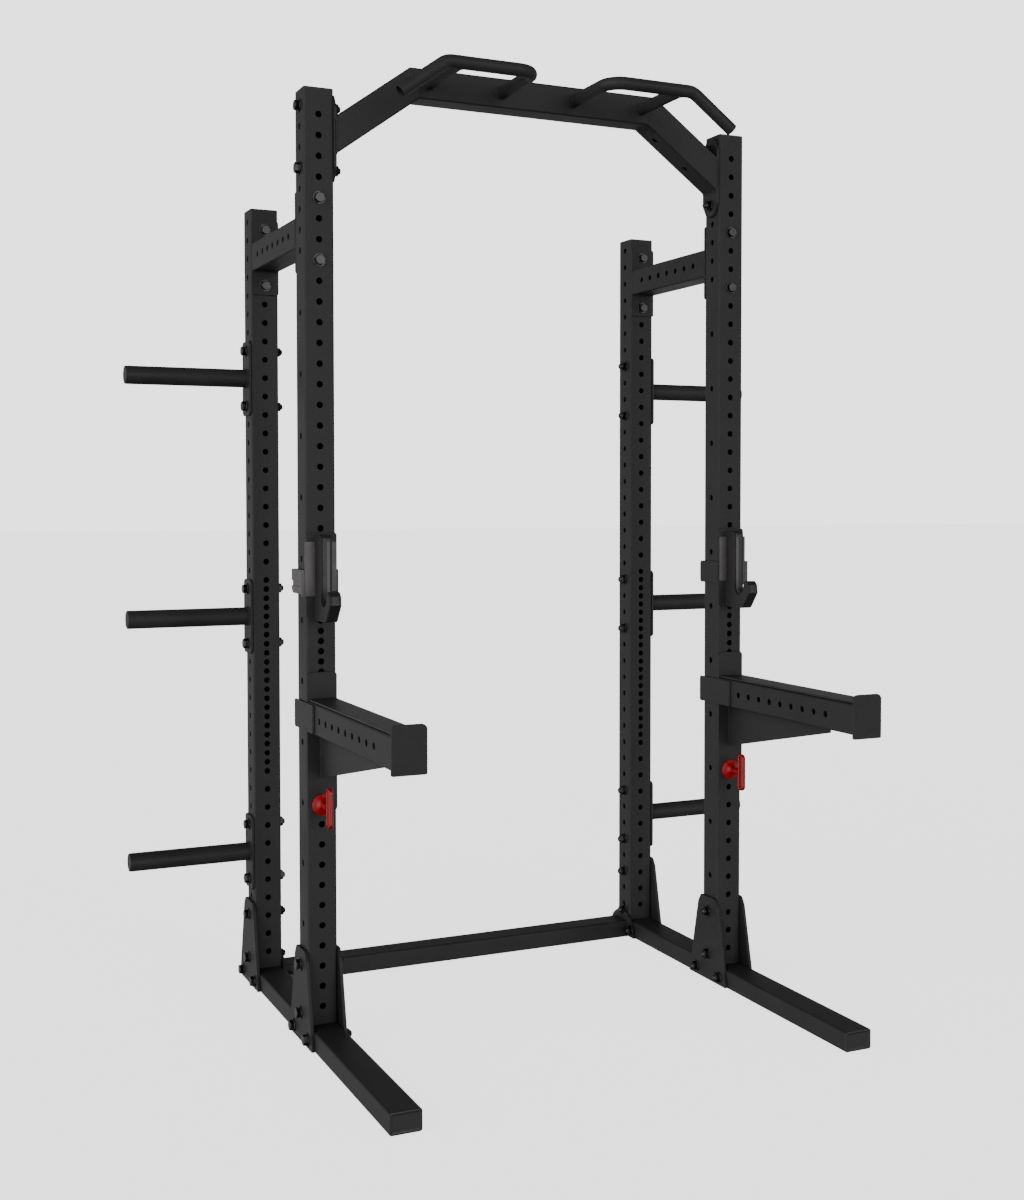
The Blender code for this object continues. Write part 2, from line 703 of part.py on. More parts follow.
def make_cup_body(x):
    """Steel part of a J-cup: plate, two cheeks, two hook skins and pegs."""
    back = FACE_Y - GAP
    front = back - PLATE
    wide = CUP_PLATE_WIDTH / 2
    clip = 0.014
    outline = [(x + wide, CUP_BOTTOM + clip), (x + wide, CUP_TOP - 0.006), (x + wide - 0.006, CUP_TOP)]
    outline += [(x - wide + 0.006, CUP_TOP), (x - wide, CUP_TOP - 0.006), (x - wide, CUP_BOTTOM + clip)]
    outline += [(x - wide + clip, CUP_BOTTOM), (x + wide - clip, CUP_BOTTOM)]
    body = prism("cup", outline, "y", front, back)
    skin = hook_outline(GAP + PLATE / 2, 0.0)
    for _, side_sign in SIDES:
        weld(body, cheek(x, side_sign, front + BITE, CUP_CHEEK_LOW, CUP_CHEEK_HIGH, 0.008))
        edge = x + side_sign * HOOK_HALF
        weld(body, prism("skin", skin, "x", edge, edge - side_sign * HOOK_SKIN))
    return weld(body, *pegs(x, CUP_PEGS))


def make_cup_guard(x, sign):
    """Plastic sheet on the outer half of the plate, with a thick grooved block on the outer cheek."""
    back = FACE_Y - 2 * GAP - PLATE
    front = back - GUARD_THICK
    side_near = HALF + 2 * GAP + CHEEK
    span = sorted((x + sign * (HOOK_HALF + 2 * GAP), x + sign * (side_near + BITE)))
    guard = box("guard", span, (front, back), (GUARD_LOW, GUARD_HIGH))
    clip = 0.010
    rear = FRONT_Y + WING_REAR
    outline = [(front, GUARD_LOW), (back, GUARD_LOW), (back, CUP_CHEEK_LOW), (rear - clip, CUP_CHEEK_LOW)]
    outline += [(rear, CUP_CHEEK_LOW + clip), (rear, CUP_CHEEK_HIGH), (front, CUP_CHEEK_HIGH)]
    weld(guard, prism("wing", outline, "x", x + sign * side_near, x + sign * WING_OUTER))
    deep = sorted((x + sign * (WING_OUTER - WING_GROOVE_DEPTH), x + sign * (WING_OUTER + CUT_PAST)))
    return cut(guard, box("groove", deep, (front + 0.006, rear + CUT_PAST), WING_GROOVE))


def make_cup_pad(x, sign):
    """Plastic sheet on the inner half of the plate."""
    back = FACE_Y - 2 * GAP - PLATE
    span = sorted((x - sign * (HOOK_HALF + 2 * GAP), x - sign * (CUP_PLATE_WIDTH / 2 - 0.001)))
    return box("pad", span, (back - GUARD_THICK, back), (PAD_LOW, GUARD_HIGH))


def make_j_cups():
    for side, sign in SIDES:
        x = sign * UPRIGHT_X
        origin = (x, FACE_Y, SADDLE_Z)
        body = finish(make_cup_body(x), "j_cup_body_" + side, "powder_coat")
        place_origin(body, origin)
        core = HOOK_HALF - HOOK_SKIN - GAP
        outline = hook_outline(2 * GAP + PLATE, LINER_PROUD)
        liner = prism("liner", outline, "x", x - core, x + core)
        place_origin(finish(liner, "j_cup_liner_" + side, "liner"), origin)
        guard = finish(make_cup_guard(x, sign), "j_cup_guard_" + side, "liner")
        place_origin(guard, origin)
        pad = finish(make_cup_pad(x, sign), "j_cup_pad_" + side, "liner")
        place_origin(pad, origin)


# ---- safety arms -----------------------------------------------------------
def make_arm(x):
    """Steel part of a safety arm."""
    back = FACE_Y - GAP
    front = back - PLATE
    tip = FRONT_Y - ARM_REACH
    half = HALF + GAP + BITE
    clip = 0.008
    face = [(x + half, ARM_PLATE_BOTTOM + clip), (x + half, ARM_PLATE_TOP - clip)]
    face += [(x + half - clip, ARM_PLATE_TOP), (x - half + clip, ARM_PLATE_TOP)]
    face += [(x - half, ARM_PLATE_TOP - clip), (x - half, ARM_PLATE_BOTTOM + clip)]
    face += [(x - half + clip, ARM_PLATE_BOTTOM), (x + half - clip, ARM_PLATE_BOTTOM)]
    arm = prism("arm", face, "y", front, back)
    outline = rounded_rectangle((x, ARM_Z), 2 * half, ARM_TUBE_HEIGHT, CORNER)
    weld(arm, prism("tube", outline, "y", tip + BITE, front + BITE))
    low = ARM_Z - ARM_TUBE_HEIGHT / 2
    high = ARM_Z + ARM_TUBE_HEIGHT / 2
    cheek_front = FRONT_Y - ARM_CHEEK_FRONT
    for _, side_sign in SIDES:
        weld(arm, cheek(x, side_sign, cheek_front, low + CORNER / 2, high - CORNER / 2, 0.006))
    stop_x = STOP_WIDTH / 2
    stop_clip = 0.010
    stop = [(x + stop_x, STOP_BOTTOM), (x + stop_x, STOP_TOP - stop_clip)]
    stop += [(x + stop_x - stop_clip, STOP_TOP), (x - stop_x + stop_clip, STOP_TOP)]
    stop += [(x - stop_x, STOP_TOP - stop_clip), (x - stop_x, STOP_BOTTOM)]
    weld(arm, prism("stop", stop, "y", tip, tip + STOP_PLATE))
    web = [(front + BITE, low + BITE), (FRONT_Y - ARM_GUSSET_TIP, low + BITE)]
    web += [(FRONT_Y - ARM_GUSSET_TIP, low - 0.016), (front + BITE, ARM_GUSSET_DROP)]
    weld(arm, prism("web", web, "x", x - ARM_GUSSET / 2, x + ARM_GUSSET / 2))
    weld(arm, *pegs(x, (ARM_PEG_Z,)))
    slim = 2 * WALL
    bore = rounded_rectangle((x, ARM_Z), 2 * half - slim, ARM_TUBE_HEIGHT - slim, CORNER - WALL)
    cut(arm, prism("bore", bore, "y", tip + STOP_PLATE, front))
    holes = [(FRONT_Y - ARM_HOLE_FIRST - HOLE_PITCH * i, ARM_Z) for i in range(ARM_HOLE_COUNT)]
    cut(arm, hole_cutters("x", holes, x - TUBE, x + TUBE))
    cut(arm, hole_cutters("y", ((x, LOCK_Z),), front - CUT_PAST, back + CUT_PAST))
    return arm


def make_arm_liner(x):
    """Plastic strip on top of the arm, turned up behind the stop plate."""
    low = ARM_Z + ARM_TUBE_HEIGHT / 2 + GAP
    high = low + ARM_LINER
    rear = FACE_Y - 2 * GAP - PLATE
    tip = FRONT_Y - ARM_REACH + STOP_PLATE + GAP
    outline = [(rear, low), (rear, high), (tip + 0.006, high), (tip + 0.006, STOP_TOP - 0.005)]
    outline += [(tip, STOP_TOP - 0.005), (tip, low)]
    return prism("strip", outline, "x", x - HALF + 0.003, x + HALF - 0.003)


def make_safety_arms():
    for side, sign in SIDES:
        x = sign * UPRIGHT_X
        origin = (x, FACE_Y, ARM_Z)
        arm = finish(make_arm(x), "safety_arm_" + side, "powder_coat")
        place_origin(arm, origin)
        strip = finish(make_arm_liner(x), "safety_arm_liner_" + side, "liner")
        place_origin(strip, origin)


# ---- lock pins -------------------------------------------------------------
def make_handle(x):
    """Moulded disc, neck and pull loop, bored for the pin."""
    back = FACE_Y - 2 * GAP - PLATE
    loop_y = FACE_Y - HANDLE_LOOP_F
    neck_end = loop_y + HANDLE_LOOP_DEPTH / 2 - HANDLE_BAR / 2
    profile = (
        (back, HANDLE_DISC),
        (back - 0.004, HANDLE_DISC),
        (back - 0.012, HANDLE_DISC * 0.62),
        (back - 0.022, 0.010),
        (neck_end, 0.0085),
    )
    handle = turned("handle", "y", (x, LOCK_Z), profile, 14)
    centre = (loop_y, LOCK_Z)
    depth = HANDLE_LOOP_DEPTH
    height = HANDLE_LOOP_HEIGHT
    outer = rounded_rectangle(centre, depth, height, depth / 2 - 0.0001, 3)
    loop = prism("loop", outer, "x", x - HANDLE_THICK / 2, x + HANDLE_THICK / 2)
    inner_depth = depth - 2 * HANDLE_BAR
    inner_height = height - 2 * HANDLE_BAR
    inner = rounded_rectangle(centre, inner_depth, inner_height, inner_depth / 2 - 0.0001, 2)
    cut(loop, prism("gap", inner, "x", x - HANDLE_THICK, x + HANDLE_THICK))
    weld(handle, loop)
    bore = rod("bore", "y", (x, LOCK_Z), PIN_RADIUS + 2 * GAP, back - 0.016, back + CUT_PAST)
    return cut(handle, bore)


def make_lock_pins():
    for side, sign in SIDES:
        x = sign * UPRIGHT_X
        origin = (x, FACE_Y, LOCK_Z)
        handle = finish(make_handle(x), "lock_pin_handle_" + side, "red", smooth=True)
        place_origin(handle, origin)
        root = FACE_Y - 2 * GAP - PLATE - 0.015
        profile = ((root, PIN_RADIUS), (FACE_Y + 0.017, PIN_RADIUS), (FACE_Y + 0.020, PIN_RADIUS - 0.002))
        pin = turned("pin", "y", (x, LOCK_Z), profile, PIN_SIDES)
        place_origin(finish(pin, "lock_pin_" + side, "steel_pin", smooth=True), origin)


# ---- bolts -----------------------------------------------------------------
def make_bolt(name, axis, centre, head_face, nut_face):
    """Bolt with its washers and nut; the faces are what the washers bear on."""
    out = 1 if head_face > nut_face else -1
    head_washer = head_face + out * (GAP + WASHER_HIGH)
    nut_washer = nut_face - out * (GAP + WASHER_HIGH)
    profile = (
        (head_washer + out * BOLT_HEAD_HIGH, BOLT_HEAD),
        (head_washer, BOLT_HEAD),
        (head_washer, WASHER),
        (head_face + out * GAP, WASHER),
        (head_face + out * GAP, PIN_RADIUS),
        (nut_face - out * GAP, PIN_RADIUS),
        (nut_face - out * GAP, WASHER),
        (nut_washer, WASHER),
        (nut_washer, BOLT_HEAD),
        (nut_washer - out * NUT_HIGH, BOLT_HEAD),
    )
    finish(turned(name, axis, centre, profile, 6), name, "zinc")


def make_bolts():
    for side, sign in SIDES:
        x = sign * UPRIGHT_X
        outer = sign * (UPRIGHT_X + HALF)
        plate_face = sign * (UPRIGHT_X - HALF - GAP - END_PLATE)
        for level, z in zip(("lower", "upper"), end_bolt_heights()):
            make_bolt("beam_bolt_" + level + "_" + side, "x", (FRONT_Y, z), outer, plate_face)
        for level, z in zip(("lower", "upper"), side_bolt_heights()):
            plate_face = FRONT_Y + HALF + GAP + SIDE_PLATE
            name = "side_bolt_front_" + level + "_" + side
            make_bolt(name, "y", (x, z), FACE_Y, plate_face)
            plate_face = REAR_Y - HALF - GAP - SIDE_PLATE
            name = "side_bolt_rear_" + level + "_" + side
            make_bolt(name, "y", (x, z), plate_face, REAR_Y + HALF)


def main():
    for obj in list(bpy.data.objects):
        bpy.data.objects.remove(obj)
    make_uprights()
    make_caps()
    make_rails()
    make_gussets()
    make_rear_crossmember()
    make_side_members()
    make_beam()
    make_grips()
    make_storage_pegs()
    make_j_cups()
    make_safety_arms()
    make_lock_pins()
    make_bolts()


main()
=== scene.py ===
"""Looks of the half rack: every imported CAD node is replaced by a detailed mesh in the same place."""

import math

import bmesh
import bpy
from mathutils import Matrix, Vector


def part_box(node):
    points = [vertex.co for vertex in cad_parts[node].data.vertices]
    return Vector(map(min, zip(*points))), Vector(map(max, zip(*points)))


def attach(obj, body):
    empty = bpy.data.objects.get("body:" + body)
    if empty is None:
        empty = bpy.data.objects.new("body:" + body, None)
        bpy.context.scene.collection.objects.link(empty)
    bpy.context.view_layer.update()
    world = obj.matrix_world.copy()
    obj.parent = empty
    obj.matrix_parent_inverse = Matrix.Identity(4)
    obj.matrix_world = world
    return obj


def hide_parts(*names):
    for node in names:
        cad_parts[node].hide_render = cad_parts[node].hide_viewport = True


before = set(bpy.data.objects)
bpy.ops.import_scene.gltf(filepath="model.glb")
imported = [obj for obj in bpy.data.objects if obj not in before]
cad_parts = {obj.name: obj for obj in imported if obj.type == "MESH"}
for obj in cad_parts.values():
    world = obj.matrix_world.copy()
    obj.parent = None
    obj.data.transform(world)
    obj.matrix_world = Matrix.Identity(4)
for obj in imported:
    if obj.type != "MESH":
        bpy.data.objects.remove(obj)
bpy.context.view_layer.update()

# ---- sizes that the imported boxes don't give, in metres ----
TUBE = 0.075                 # square tube of the uprights, beam and arms
WALL = 0.003
CORNER = 0.006               # outer corner radius of the square tubes
EDGE = 0.0008                # rounded edge of a plate, unless one of these is given
HOOK_EDGE = 0.0007           # hook plates and their wear strips
SHEET_EDGE = 0.0009          # cheeks, webs and plastic sheets
PLATE_EDGE = 0.0010          # bolting plates, gussets and the hooks' cores
FACE_EDGE = 0.0012           # face and stop plates
STRIP_EDGE = 0.0015          # the arms' plastic strips
HOLE = 0.008                 # radius of the pin holes
HOLE_EDGE = 0.0006
HOLE_SIDES = 20
GRID = 0.025                 # the holes' finest pitch, and half of the coarse one
GRID_TOP = 2.295
GRID_LOW = 0.095
REAR_GRID_TOP = 2.095        # highest side hole of the rear uprights
FINE_ZONE = (0.595, 1.120)
SIDE_ROW_LOW = 1.945         # lower end of the front uprights' upper row of side holes
SIDE_SPARSE = (0.295, 1.795)  # their side holes at three times the coarse pitch
PLAY = 0.0003                # between pieces that touch
BEAD = 0.0022                # radius of a weld bead, unless one of these is given
THIN_BEAD = 0.0019           # the grips' roots and the arms' webs
CHEEK_BEAD = 0.0018          # the arms' cheeks
FINE_BEAD = 0.0016           # the hooks' feet and the grips' struts
SIDES = (("left", -1), ("right", 1))

LEG_SLOPE = math.radians(36)
BEAM_BEND_X = 0.3345
MITRE_BEAD = 0.0013          # ground nearly flush
BEAM_PLATE = 0.008
LEG_HOLES = (0.076, 0.191)   # along a leg's underside, from the bend
GRIP_RADIUS = 0.016
GRIP_CURVE = 0.045
GRIP_TAIL = 0.144
GRIP_STRUT_X = 0.300
SIDE_PLATE = 0.006
BOLT_OFFSET = 0.075          # bolts above and below the middle of a bolting plate
SIDE_MEMBER_HOLES = 7
CAP_LEVELS = (               # below the cap's top, and how far inside its rim
    (0.0160, 0.0036), (0.0043, 0.0034), (0.0040, 0.0000), (0.0016, 0.0000), (0.0006, 0.0005),
    (0.0001, 0.0016), (0.0000, 0.0034), (0.0001, 0.0052), (0.0009, 0.0062), (0.0011, 0.0080),
)
GUSSET = 0.008               # thickness
GUSSET_TOP = 0.036           # half of its width at the top
GUSSET_SHOULDER = (0.050, 0.022)  # half of its width there, and how far below the top
GUSSET_BOLTS_Z = (0.195, 0.075)  # through the upright
GUSSET_FOOT_BOLT = (0.060, 0.025)  # through the rail: from the upright's middle, and height
CROSS_PLATE = 0.008
PEG_PLATE = 0.006
PEG_RADIUS = 0.0245
PEG_END = (                  # distance from the tip, and how much thinner there
    (0.0050, 0.0), (0.0044, 0.0007), (0.0036, 0.0007), (0.0030, 0.0), (0.0022, 0.0),
    (0.0007, 0.0012), (0.0, 0.0030), (0.0, 0.0060), (0.0010, 0.0075),
)
PIN_RADIUS = 0.0072

CHEEK = 0.005
CHEEK_REAR = 0.050           # behind the upright's middle
FACE_PLATE = 0.006
HOOK_PEG = 0.025             # how far a bracket's peg goes into its hole
ARM_Z = 0.813
ARM_TUBE_HEIGHT = 0.075
ARM_CHEEK_FRONT = 0.104
ARM_PEG_Z = 0.895
ARM_HOLES = 9
ARM_HOLE_FIRST = 0.143
STOP_PLATE = 0.008
STOP_WIDTH = 0.080
STOP_Z = (0.766, 0.873)
WEB_THICK = 0.008
WEB_LOW = 0.660
WEB_TIP = 0.510

CUP_PLATE_WIDTH = 0.078
CUP_Z = (1.047, 1.260)
CUP_CHEEK_Z = (1.111, 1.170)
CUP_PEGS = (1.170, 1.220)
HOOK_HALF = 0.015
HOOK_SKIN = 0.005
HOOK_Z = (1.046, 1.255)
HOOK_NECK = 0.0452
SADDLE = (0.069, 1.106)      # in front of the upright's face, and height
SADDLE_RADIUS = 0.0238
LIP_FRONT = 0.119
LIP_TOP = 1.120
LINER_PROUD = 0.0026
CORE_PROUD = 0.0016
INLAY = (0.0012, 0.0087)     # from the hook's middle towards the rack's middle
GUARD_THICK = 0.003
GUARD_Z = (1.105, 1.238)
WING_REAR = 0.038
WING_GROOVE = (1.129, 1.142)
WING_GROOVE_DEPTH = 0.003

LOCK_Z = 0.595
LOCK_PIN_END = (             # distance from the tip, and how much thinner there
    (0.010, 0.0), (0.0095, 0.0008), (0.0085, 0.0008), (0.0080, 0.0),
    (0.003, 0.0), (0.0008, 0.0014), (0.0, 0.0024),
)
HANDLE_DISC = 0.027          # radius
HANDLE_NECK = 0.0095         # radius
LOOP_BAR = 0.008
LOOP_THICK = 0.012
LOOP_DEPTH = 0.026

BOLT_ACROSS = 0.0232         # across the flats of heads and nuts
HEAD_HIGH = 0.010
NUT_HIGH = 0.011
WASHER = 0.0158
WASHER_HIGH = 0.0025
THREAD_OUT = 0.0045          # threaded end beyond the nut

BACKGROUND = 2.5             # studio light: radiance behind the object, and all round it
AMBIENT_LEVEL = 0.68
AMBIENT_TOP = 0.11
AMBIENT_UNDER = 0.05
KEY = 2.10
FILL = 0.92
FLOOR_REACH = 60

MIX_FIRST = 6                # the Mix node's sockets for colours
MIX_SECOND = 7
MIX_RESULT = 2


# ---- places taken from the frame ----
def middle(node):
    """Centre of a CAD node's box."""
    low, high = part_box(node)
    return (low + high) / 2


UPRIGHT_X = middle("upright_front_right").x
FRONT_Y = middle("upright_front_right").y
REAR_Y = middle("upright_rear_right").y
HALF = TUBE / 2
FACE_Y = FRONT_Y - HALF
RAIL_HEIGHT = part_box("base_rail_right")[1].z
BEAM_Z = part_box("pull_up_beam")[1].z - HALF
BEAM_PLATE_Z = middle("beam_bolt_lower_right").z + BOLT_OFFSET


# ---- materials ----
def connect(tree, node, values):
    """Set a node's inputs by name or number, or link those that are given a socket."""
    for key, value in values.items():
        if isinstance(value, bpy.types.NodeSocket):
            tree.links.new(value, node.inputs[key])
        else:
            node.inputs[key].default_value = value


def add_node(tree, kind, values, **settings):
    """A new node with its settings and inputs."""
    node = tree.nodes.new(kind)
    for key, value in settings.items():
        setattr(node, key, value)
    connect(tree, node, values)
    return node


def noise(tree, coords, scale, detail=2.0, roughness=0.5):
    """Value of a noise texture in object space; scale is in repeats per metre."""
    values = {"Vector": coords, "Scale": scale, "Detail": detail, "Roughness": roughness}
    return add_node(tree, "ShaderNodeTexNoise", values).outputs["Fac"]


def stretched(tree, coords, scale):
    """Coordinates scaled by a different amount along each axis."""
    return add_node(tree, "ShaderNodeMapping", {"Vector": coords, "Scale": scale}).outputs["Vector"]


def spread(tree, value, low, high, to_low=0.0, to_high=1.0):
    """Map a range of a value to another range, clamped."""
    values = {"Value": value, "From Min": low, "From Max": high, "To Min": to_low, "To Max": to_high}
    return add_node(tree, "ShaderNodeMapRange", values).outputs["Result"]


def blend_colours(tree, factor, first, second):
    """Mix of two colours, each a tuple or a socket."""
    first, second = [(*c, 1.0) if isinstance(c, tuple) else c for c in (first, second)]
    values = {"Factor": factor, MIX_FIRST: first, MIX_SECOND: second}
    return add_node(tree, "ShaderNodeMix", values, data_type="RGBA").outputs[MIX_RESULT]


def calculate(tree, operation, first, second):
    """One Math node."""
    return add_node(tree, "ShaderNodeMath", {0: first, 1: second}, operation=operation).outputs["Value"]


def edge_mask(tree, width, low, high):
    """1 on outer edges and corners, 0 on flats, from the Bevel node."""
    bevel = add_node(tree, "ShaderNodeBevel", {"Radius": width}, samples=4)
    geometry = tree.nodes.new("ShaderNodeNewGeometry")
    normals = {0: bevel.outputs["Normal"], 1: geometry.outputs["True Normal"]}
    dot = add_node(tree, "ShaderNodeVectorMath", normals, operation="DOT_PRODUCT")
    return spread(tree, calculate(tree, "SUBTRACT", 1.0, dot.outputs["Value"]), low, high)


def bump(tree, height, distance, strength, normal=None):
    """One Bump node; chain them through normal."""
    values = {"Height": height, "Distance": distance, "Strength": strength}
    if normal is not None:
        values["Normal"] = normal
    return add_node(tree, "ShaderNodeBump", values).outputs["Normal"]


def start_material(name):
    """Empty material with its tree, shader and object coordinates."""
    material = bpy.data.materials.new(name)
    material.use_nodes = True
    tree = material.node_tree
    shader = tree.nodes["Principled BSDF"]
    coords = tree.nodes.new("ShaderNodeTexCoord").outputs["Object"]
    return material, tree, shader, coords


def powder_coat():
    """Fine-grained charcoal powder coat, a little glossier, lightened by a painted highlight and rubbed
    through on its edges.
    """
    material, tree, shader, coords = start_material("powder_coat")
    mottle = noise(tree, coords, 6.0, 5.0, 0.6)
    speck = noise(tree, coords, 1100.0, 1.0)
    rub = noise(tree, coords, 90.0, 4.0, 0.65)
    # pale colour of the random specks, also used below for the painted edge highlight
    light = (0.050, 0.050, 0.052)
    shade = spread(tree, mottle, 0.3, 0.7)
    shade = blend_colours(tree, shade, (0.0228, 0.0228, 0.0237), (0.0336, 0.0336, 0.0345))
    shade = blend_colours(tree, spread(tree, speck, 0.58, 0.72, 0.0, 0.55), shade, light)
    edges = edge_mask(tree, 0.0016, 0.02, 0.30)
    # painted highlight: the edges' colour is lightened towards the pale speck colour, standing in for light
    # caught on the rounded edges as well as for slight wear
    edge_wear_and_highlight = blend_colours(tree, calculate(tree, "MULTIPLY", edges, 0.55), shade, light)
    chips = calculate(tree, "MULTIPLY", spread(tree, edges, 0.25, 0.8), spread(tree, rub, 0.63, 0.69))
    worn = blend_colours(tree, chips, edge_wear_and_highlight, (0.20, 0.20, 0.205))
    rough = spread(tree, mottle, 0.25, 0.75, 0.47, 0.60)
    rough = calculate(tree, "SUBTRACT", rough, calculate(tree, "MULTIPLY", edges, 0.12))
    fine = bump(tree, noise(tree, coords, 1500.0, 2.0), 0.00012, 0.35)
    coarse = bump(tree, noise(tree, coords, 420.0, 3.0), 0.00025, 0.30, fine)
    connect(tree, shader, {"Base Color": worn, "Roughness": rough, "Normal": coarse})
    shader.inputs["Specular IOR Level"].default_value = 0.20
    return material


def black_plastic():
    """Moulded cap plastic with a spark-eroded grain."""
    material, tree, shader, coords = start_material("cap_plastic")
    patch = noise(tree, coords, 40.0, 3.0)
    shade = blend_colours(tree, patch, (0.010, 0.010, 0.011), (0.018, 0.018, 0.019))
    scuffed = blend_colours(tree, edge_mask(tree, 0.001, 0.03, 0.35), shade, (0.045, 0.045, 0.047))
    rough = spread(tree, patch, 0.3, 0.7, 0.42, 0.58)
    grain = add_node(tree, "ShaderNodeTexVoronoi", {"Vector": coords, "Scale": 900.0}).outputs["Distance"]
    normal = bump(tree, grain, 0.00015, 0.4)
    connect(tree, shader, {"Base Color": scuffed, "Roughness": rough, "Normal": normal})
    return material


def liner_plastic():
    """Dark grey slippery polyethylene with sawing marks and rubbed patches."""
    material, tree, shader, coords = start_material("liner_plastic")
    drawn = noise(tree, stretched(tree, coords, (1.0, 1.0, 0.06)), 700.0, 3.0)
    patch = noise(tree, coords, 35.0, 4.0, 0.6)
    shade = spread(tree, patch, 0.3, 0.7)
    shade = blend_colours(tree, shade, (0.066, 0.058, 0.061), (0.092, 0.083, 0.087))
    shade = blend_colours(tree, spread(tree, drawn, 0.55, 0.75, 0.0, 0.4), shade, (0.12, 0.11, 0.115))
    scuffed = blend_colours(tree, edge_mask(tree, 0.0012, 0.03, 0.35), shade, (0.15, 0.14, 0.145))
    rough = spread(tree, patch, 0.3, 0.7, 0.38, 0.55)
    normal = bump(tree, drawn, 0.0001, 0.35)
    connect(tree, shader, {"Base Color": scuffed, "Roughness": rough, "Normal": normal})
    return material


def strip_plastic(name, stretch):
    """Black wear plastic, scratched along the axis that stretch makes coarse."""
    material, tree, shader, coords = start_material(name)
    drag = noise(tree, stretched(tree, coords, stretch), 500.0, 4.0, 0.6)
    patch = noise(tree, coords, 18.0, 4.0, 0.6)
    shade = spread(tree, patch, 0.3, 0.7)
    shade = blend_colours(tree, shade, (0.010, 0.010, 0.011), (0.020, 0.019, 0.020))
    worn = spread(tree, patch, 0.45, 0.65, 0.1, 0.8)
    marked = calculate(tree, "MULTIPLY", spread(tree, drag, 0.56, 0.70), worn)
    shade = blend_colours(tree, marked, shade, (0.055, 0.053, 0.055))
    rough = spread(tree, drag, 0.3, 0.7, 0.40, 0.58)
    connect(tree, shader, {"Base Color": shade, "Roughness": rough, "Normal": bump(tree, drag, 0.0001, 0.35)})
    return material


def black_zinc():
    """Black plated steel of bolts, nuts and washers, with turning marks."""
    material, tree, shader, coords = start_material("black_zinc")
    blotch = noise(tree, coords, 160.0, 4.0, 0.6)
    scratch = noise(tree, coords, 1400.0, 2.0)
    shade = spread(tree, blotch, 0.3, 0.7)
    shade = blend_colours(tree, shade, (0.035, 0.035, 0.037), (0.075, 0.074, 0.076))
    bright = blend_colours(tree, edge_mask(tree, 0.0008, 0.03, 0.30), shade, (0.22, 0.22, 0.225))
    rough = spread(tree, blotch, 0.3, 0.7, 0.30, 0.46)
    normal = bump(tree, scratch, 0.00008, 0.25)
    connect(tree, shader, {"Base Color": bright, "Roughness": rough, "Normal": normal})
    shader.inputs["Metallic"].default_value = 1.0
    return material


def turned_steel():
    """Bright turned steel of the lock pins."""
    material, tree, shader, coords = start_material("turned_steel")
    turning = noise(tree, stretched(tree, coords, (0.05, 1.0, 0.05)), 4000.0, 2.0)
    shade = blend_colours(tree, turning, (0.42, 0.42, 0.43), (0.62, 0.62, 0.63))
    rough = spread(tree, turning, 0.3, 0.7, 0.22, 0.36)
    normal = bump(tree, turning, 0.00005, 0.3)
    connect(tree, shader, {"Base Color": shade, "Roughness": rough, "Normal": normal})
    shader.inputs["Metallic"].default_value = 1.0
    return material


def red_plastic():
    """Semi-gloss moulded red plastic of the lock pins' handles."""
    material, tree, shader, coords = start_material("red_plastic")
    patch = noise(tree, coords, 60.0, 4.0, 0.6)
    shade = blend_colours(tree, spread(tree, patch, 0.3, 0.7), (0.28, 0.001, 0.003), (0.35, 0.002, 0.006))
    rubbed = blend_colours(tree, edge_mask(tree, 0.001, 0.03, 0.4), shade, (0.44, 0.012, 0.018))
    rough = spread(tree, patch, 0.3, 0.7, 0.28, 0.42)
    normal = bump(tree, noise(tree, coords, 900.0, 2.0), 0.00008, 0.25)
    connect(tree, shader, {"Base Color": rubbed, "Roughness": rough, "Normal": normal})
    shader.inputs["Specular IOR Level"].default_value = 0.35
    shader.inputs["Coat Weight"].default_value = 0.08
    shader.inputs["Coat Roughness"].default_value = 0.2
    return material


LOOKS = {
    "powder_coat": ("powder_coat", powder_coat()),
    "cap": ("black_cap", black_plastic()),
    "liner": ("liner", liner_plastic()),
    "strip": ("liner", strip_plastic("strip_plastic", (1.0, 0.08, 1.0))),
    "core": ("liner", strip_plastic("core_plastic", (1.0, 1.0, 0.08))),
    "bolt": ("bolt", black_zinc()),
    "pin": ("pin_steel", turned_steel()),
    "red": ("red_plastic", red_plastic()),
}


# ---- outlines ----
def arc(centre, radius, start, end, steps):
    """Points along an arc, angles in degrees, both ends included."""
    points = []
    for step in range(steps + 1):
        angle = math.radians(start + (end - start) * step / steps)
        points.append((centre[0] + radius * math.cos(angle), centre[1] + radius * math.sin(angle)))
    return points


def rectangle(left, right, low, high):
    """Four corners, counter-clockwise from the lower left one."""
    return [(left, low), (right, low), (right, high), (left, high)]


def rounded_rectangle(centre, width, height, radius, steps=5):
    """Counter-clockwise rectangle with round corners, from the +u side on."""
    across = width / 2 - radius
    up = height / 2 - radius
    points = []
    for du, dv, start in ((across, up, 0), (-across, up, 90), (-across, -up, 180), (across, -up, 270)):
        points += arc((centre[0] + du, centre[1] + dv), radius, start, start + 90, steps)
    return points


def round_corners(outline, radius, steps=4):
    """Replace each corner of a polygon by an arc; radius is one number, or one for each corner."""
    count = len(outline)
    radii = radius if isinstance(radius, (list, tuple)) else [radius] * count
    points = []
    for index, size in enumerate(radii):
        corner = Vector(outline[index])
        before = (Vector(outline[index - 1]) - corner).normalized()
        after = (Vector(outline[(index + 1) % count]) - corner).normalized()
        half = before.angle(after) / 2
        if size <= 0:
            points.append(tuple(corner))
            continue
        centre = corner + (before + after).normalized() * size / math.sin(half)
        start = corner + before * size / math.tan(half) - centre
        finish = corner + after * size / math.tan(half) - centre
        sweep = start.angle_signed(finish)
        for step in range(steps + 1):
            angle = -sweep * step / steps
            turned = Matrix.Rotation(angle, 2) @ start
            points.append(tuple(centre + turned))
    return points


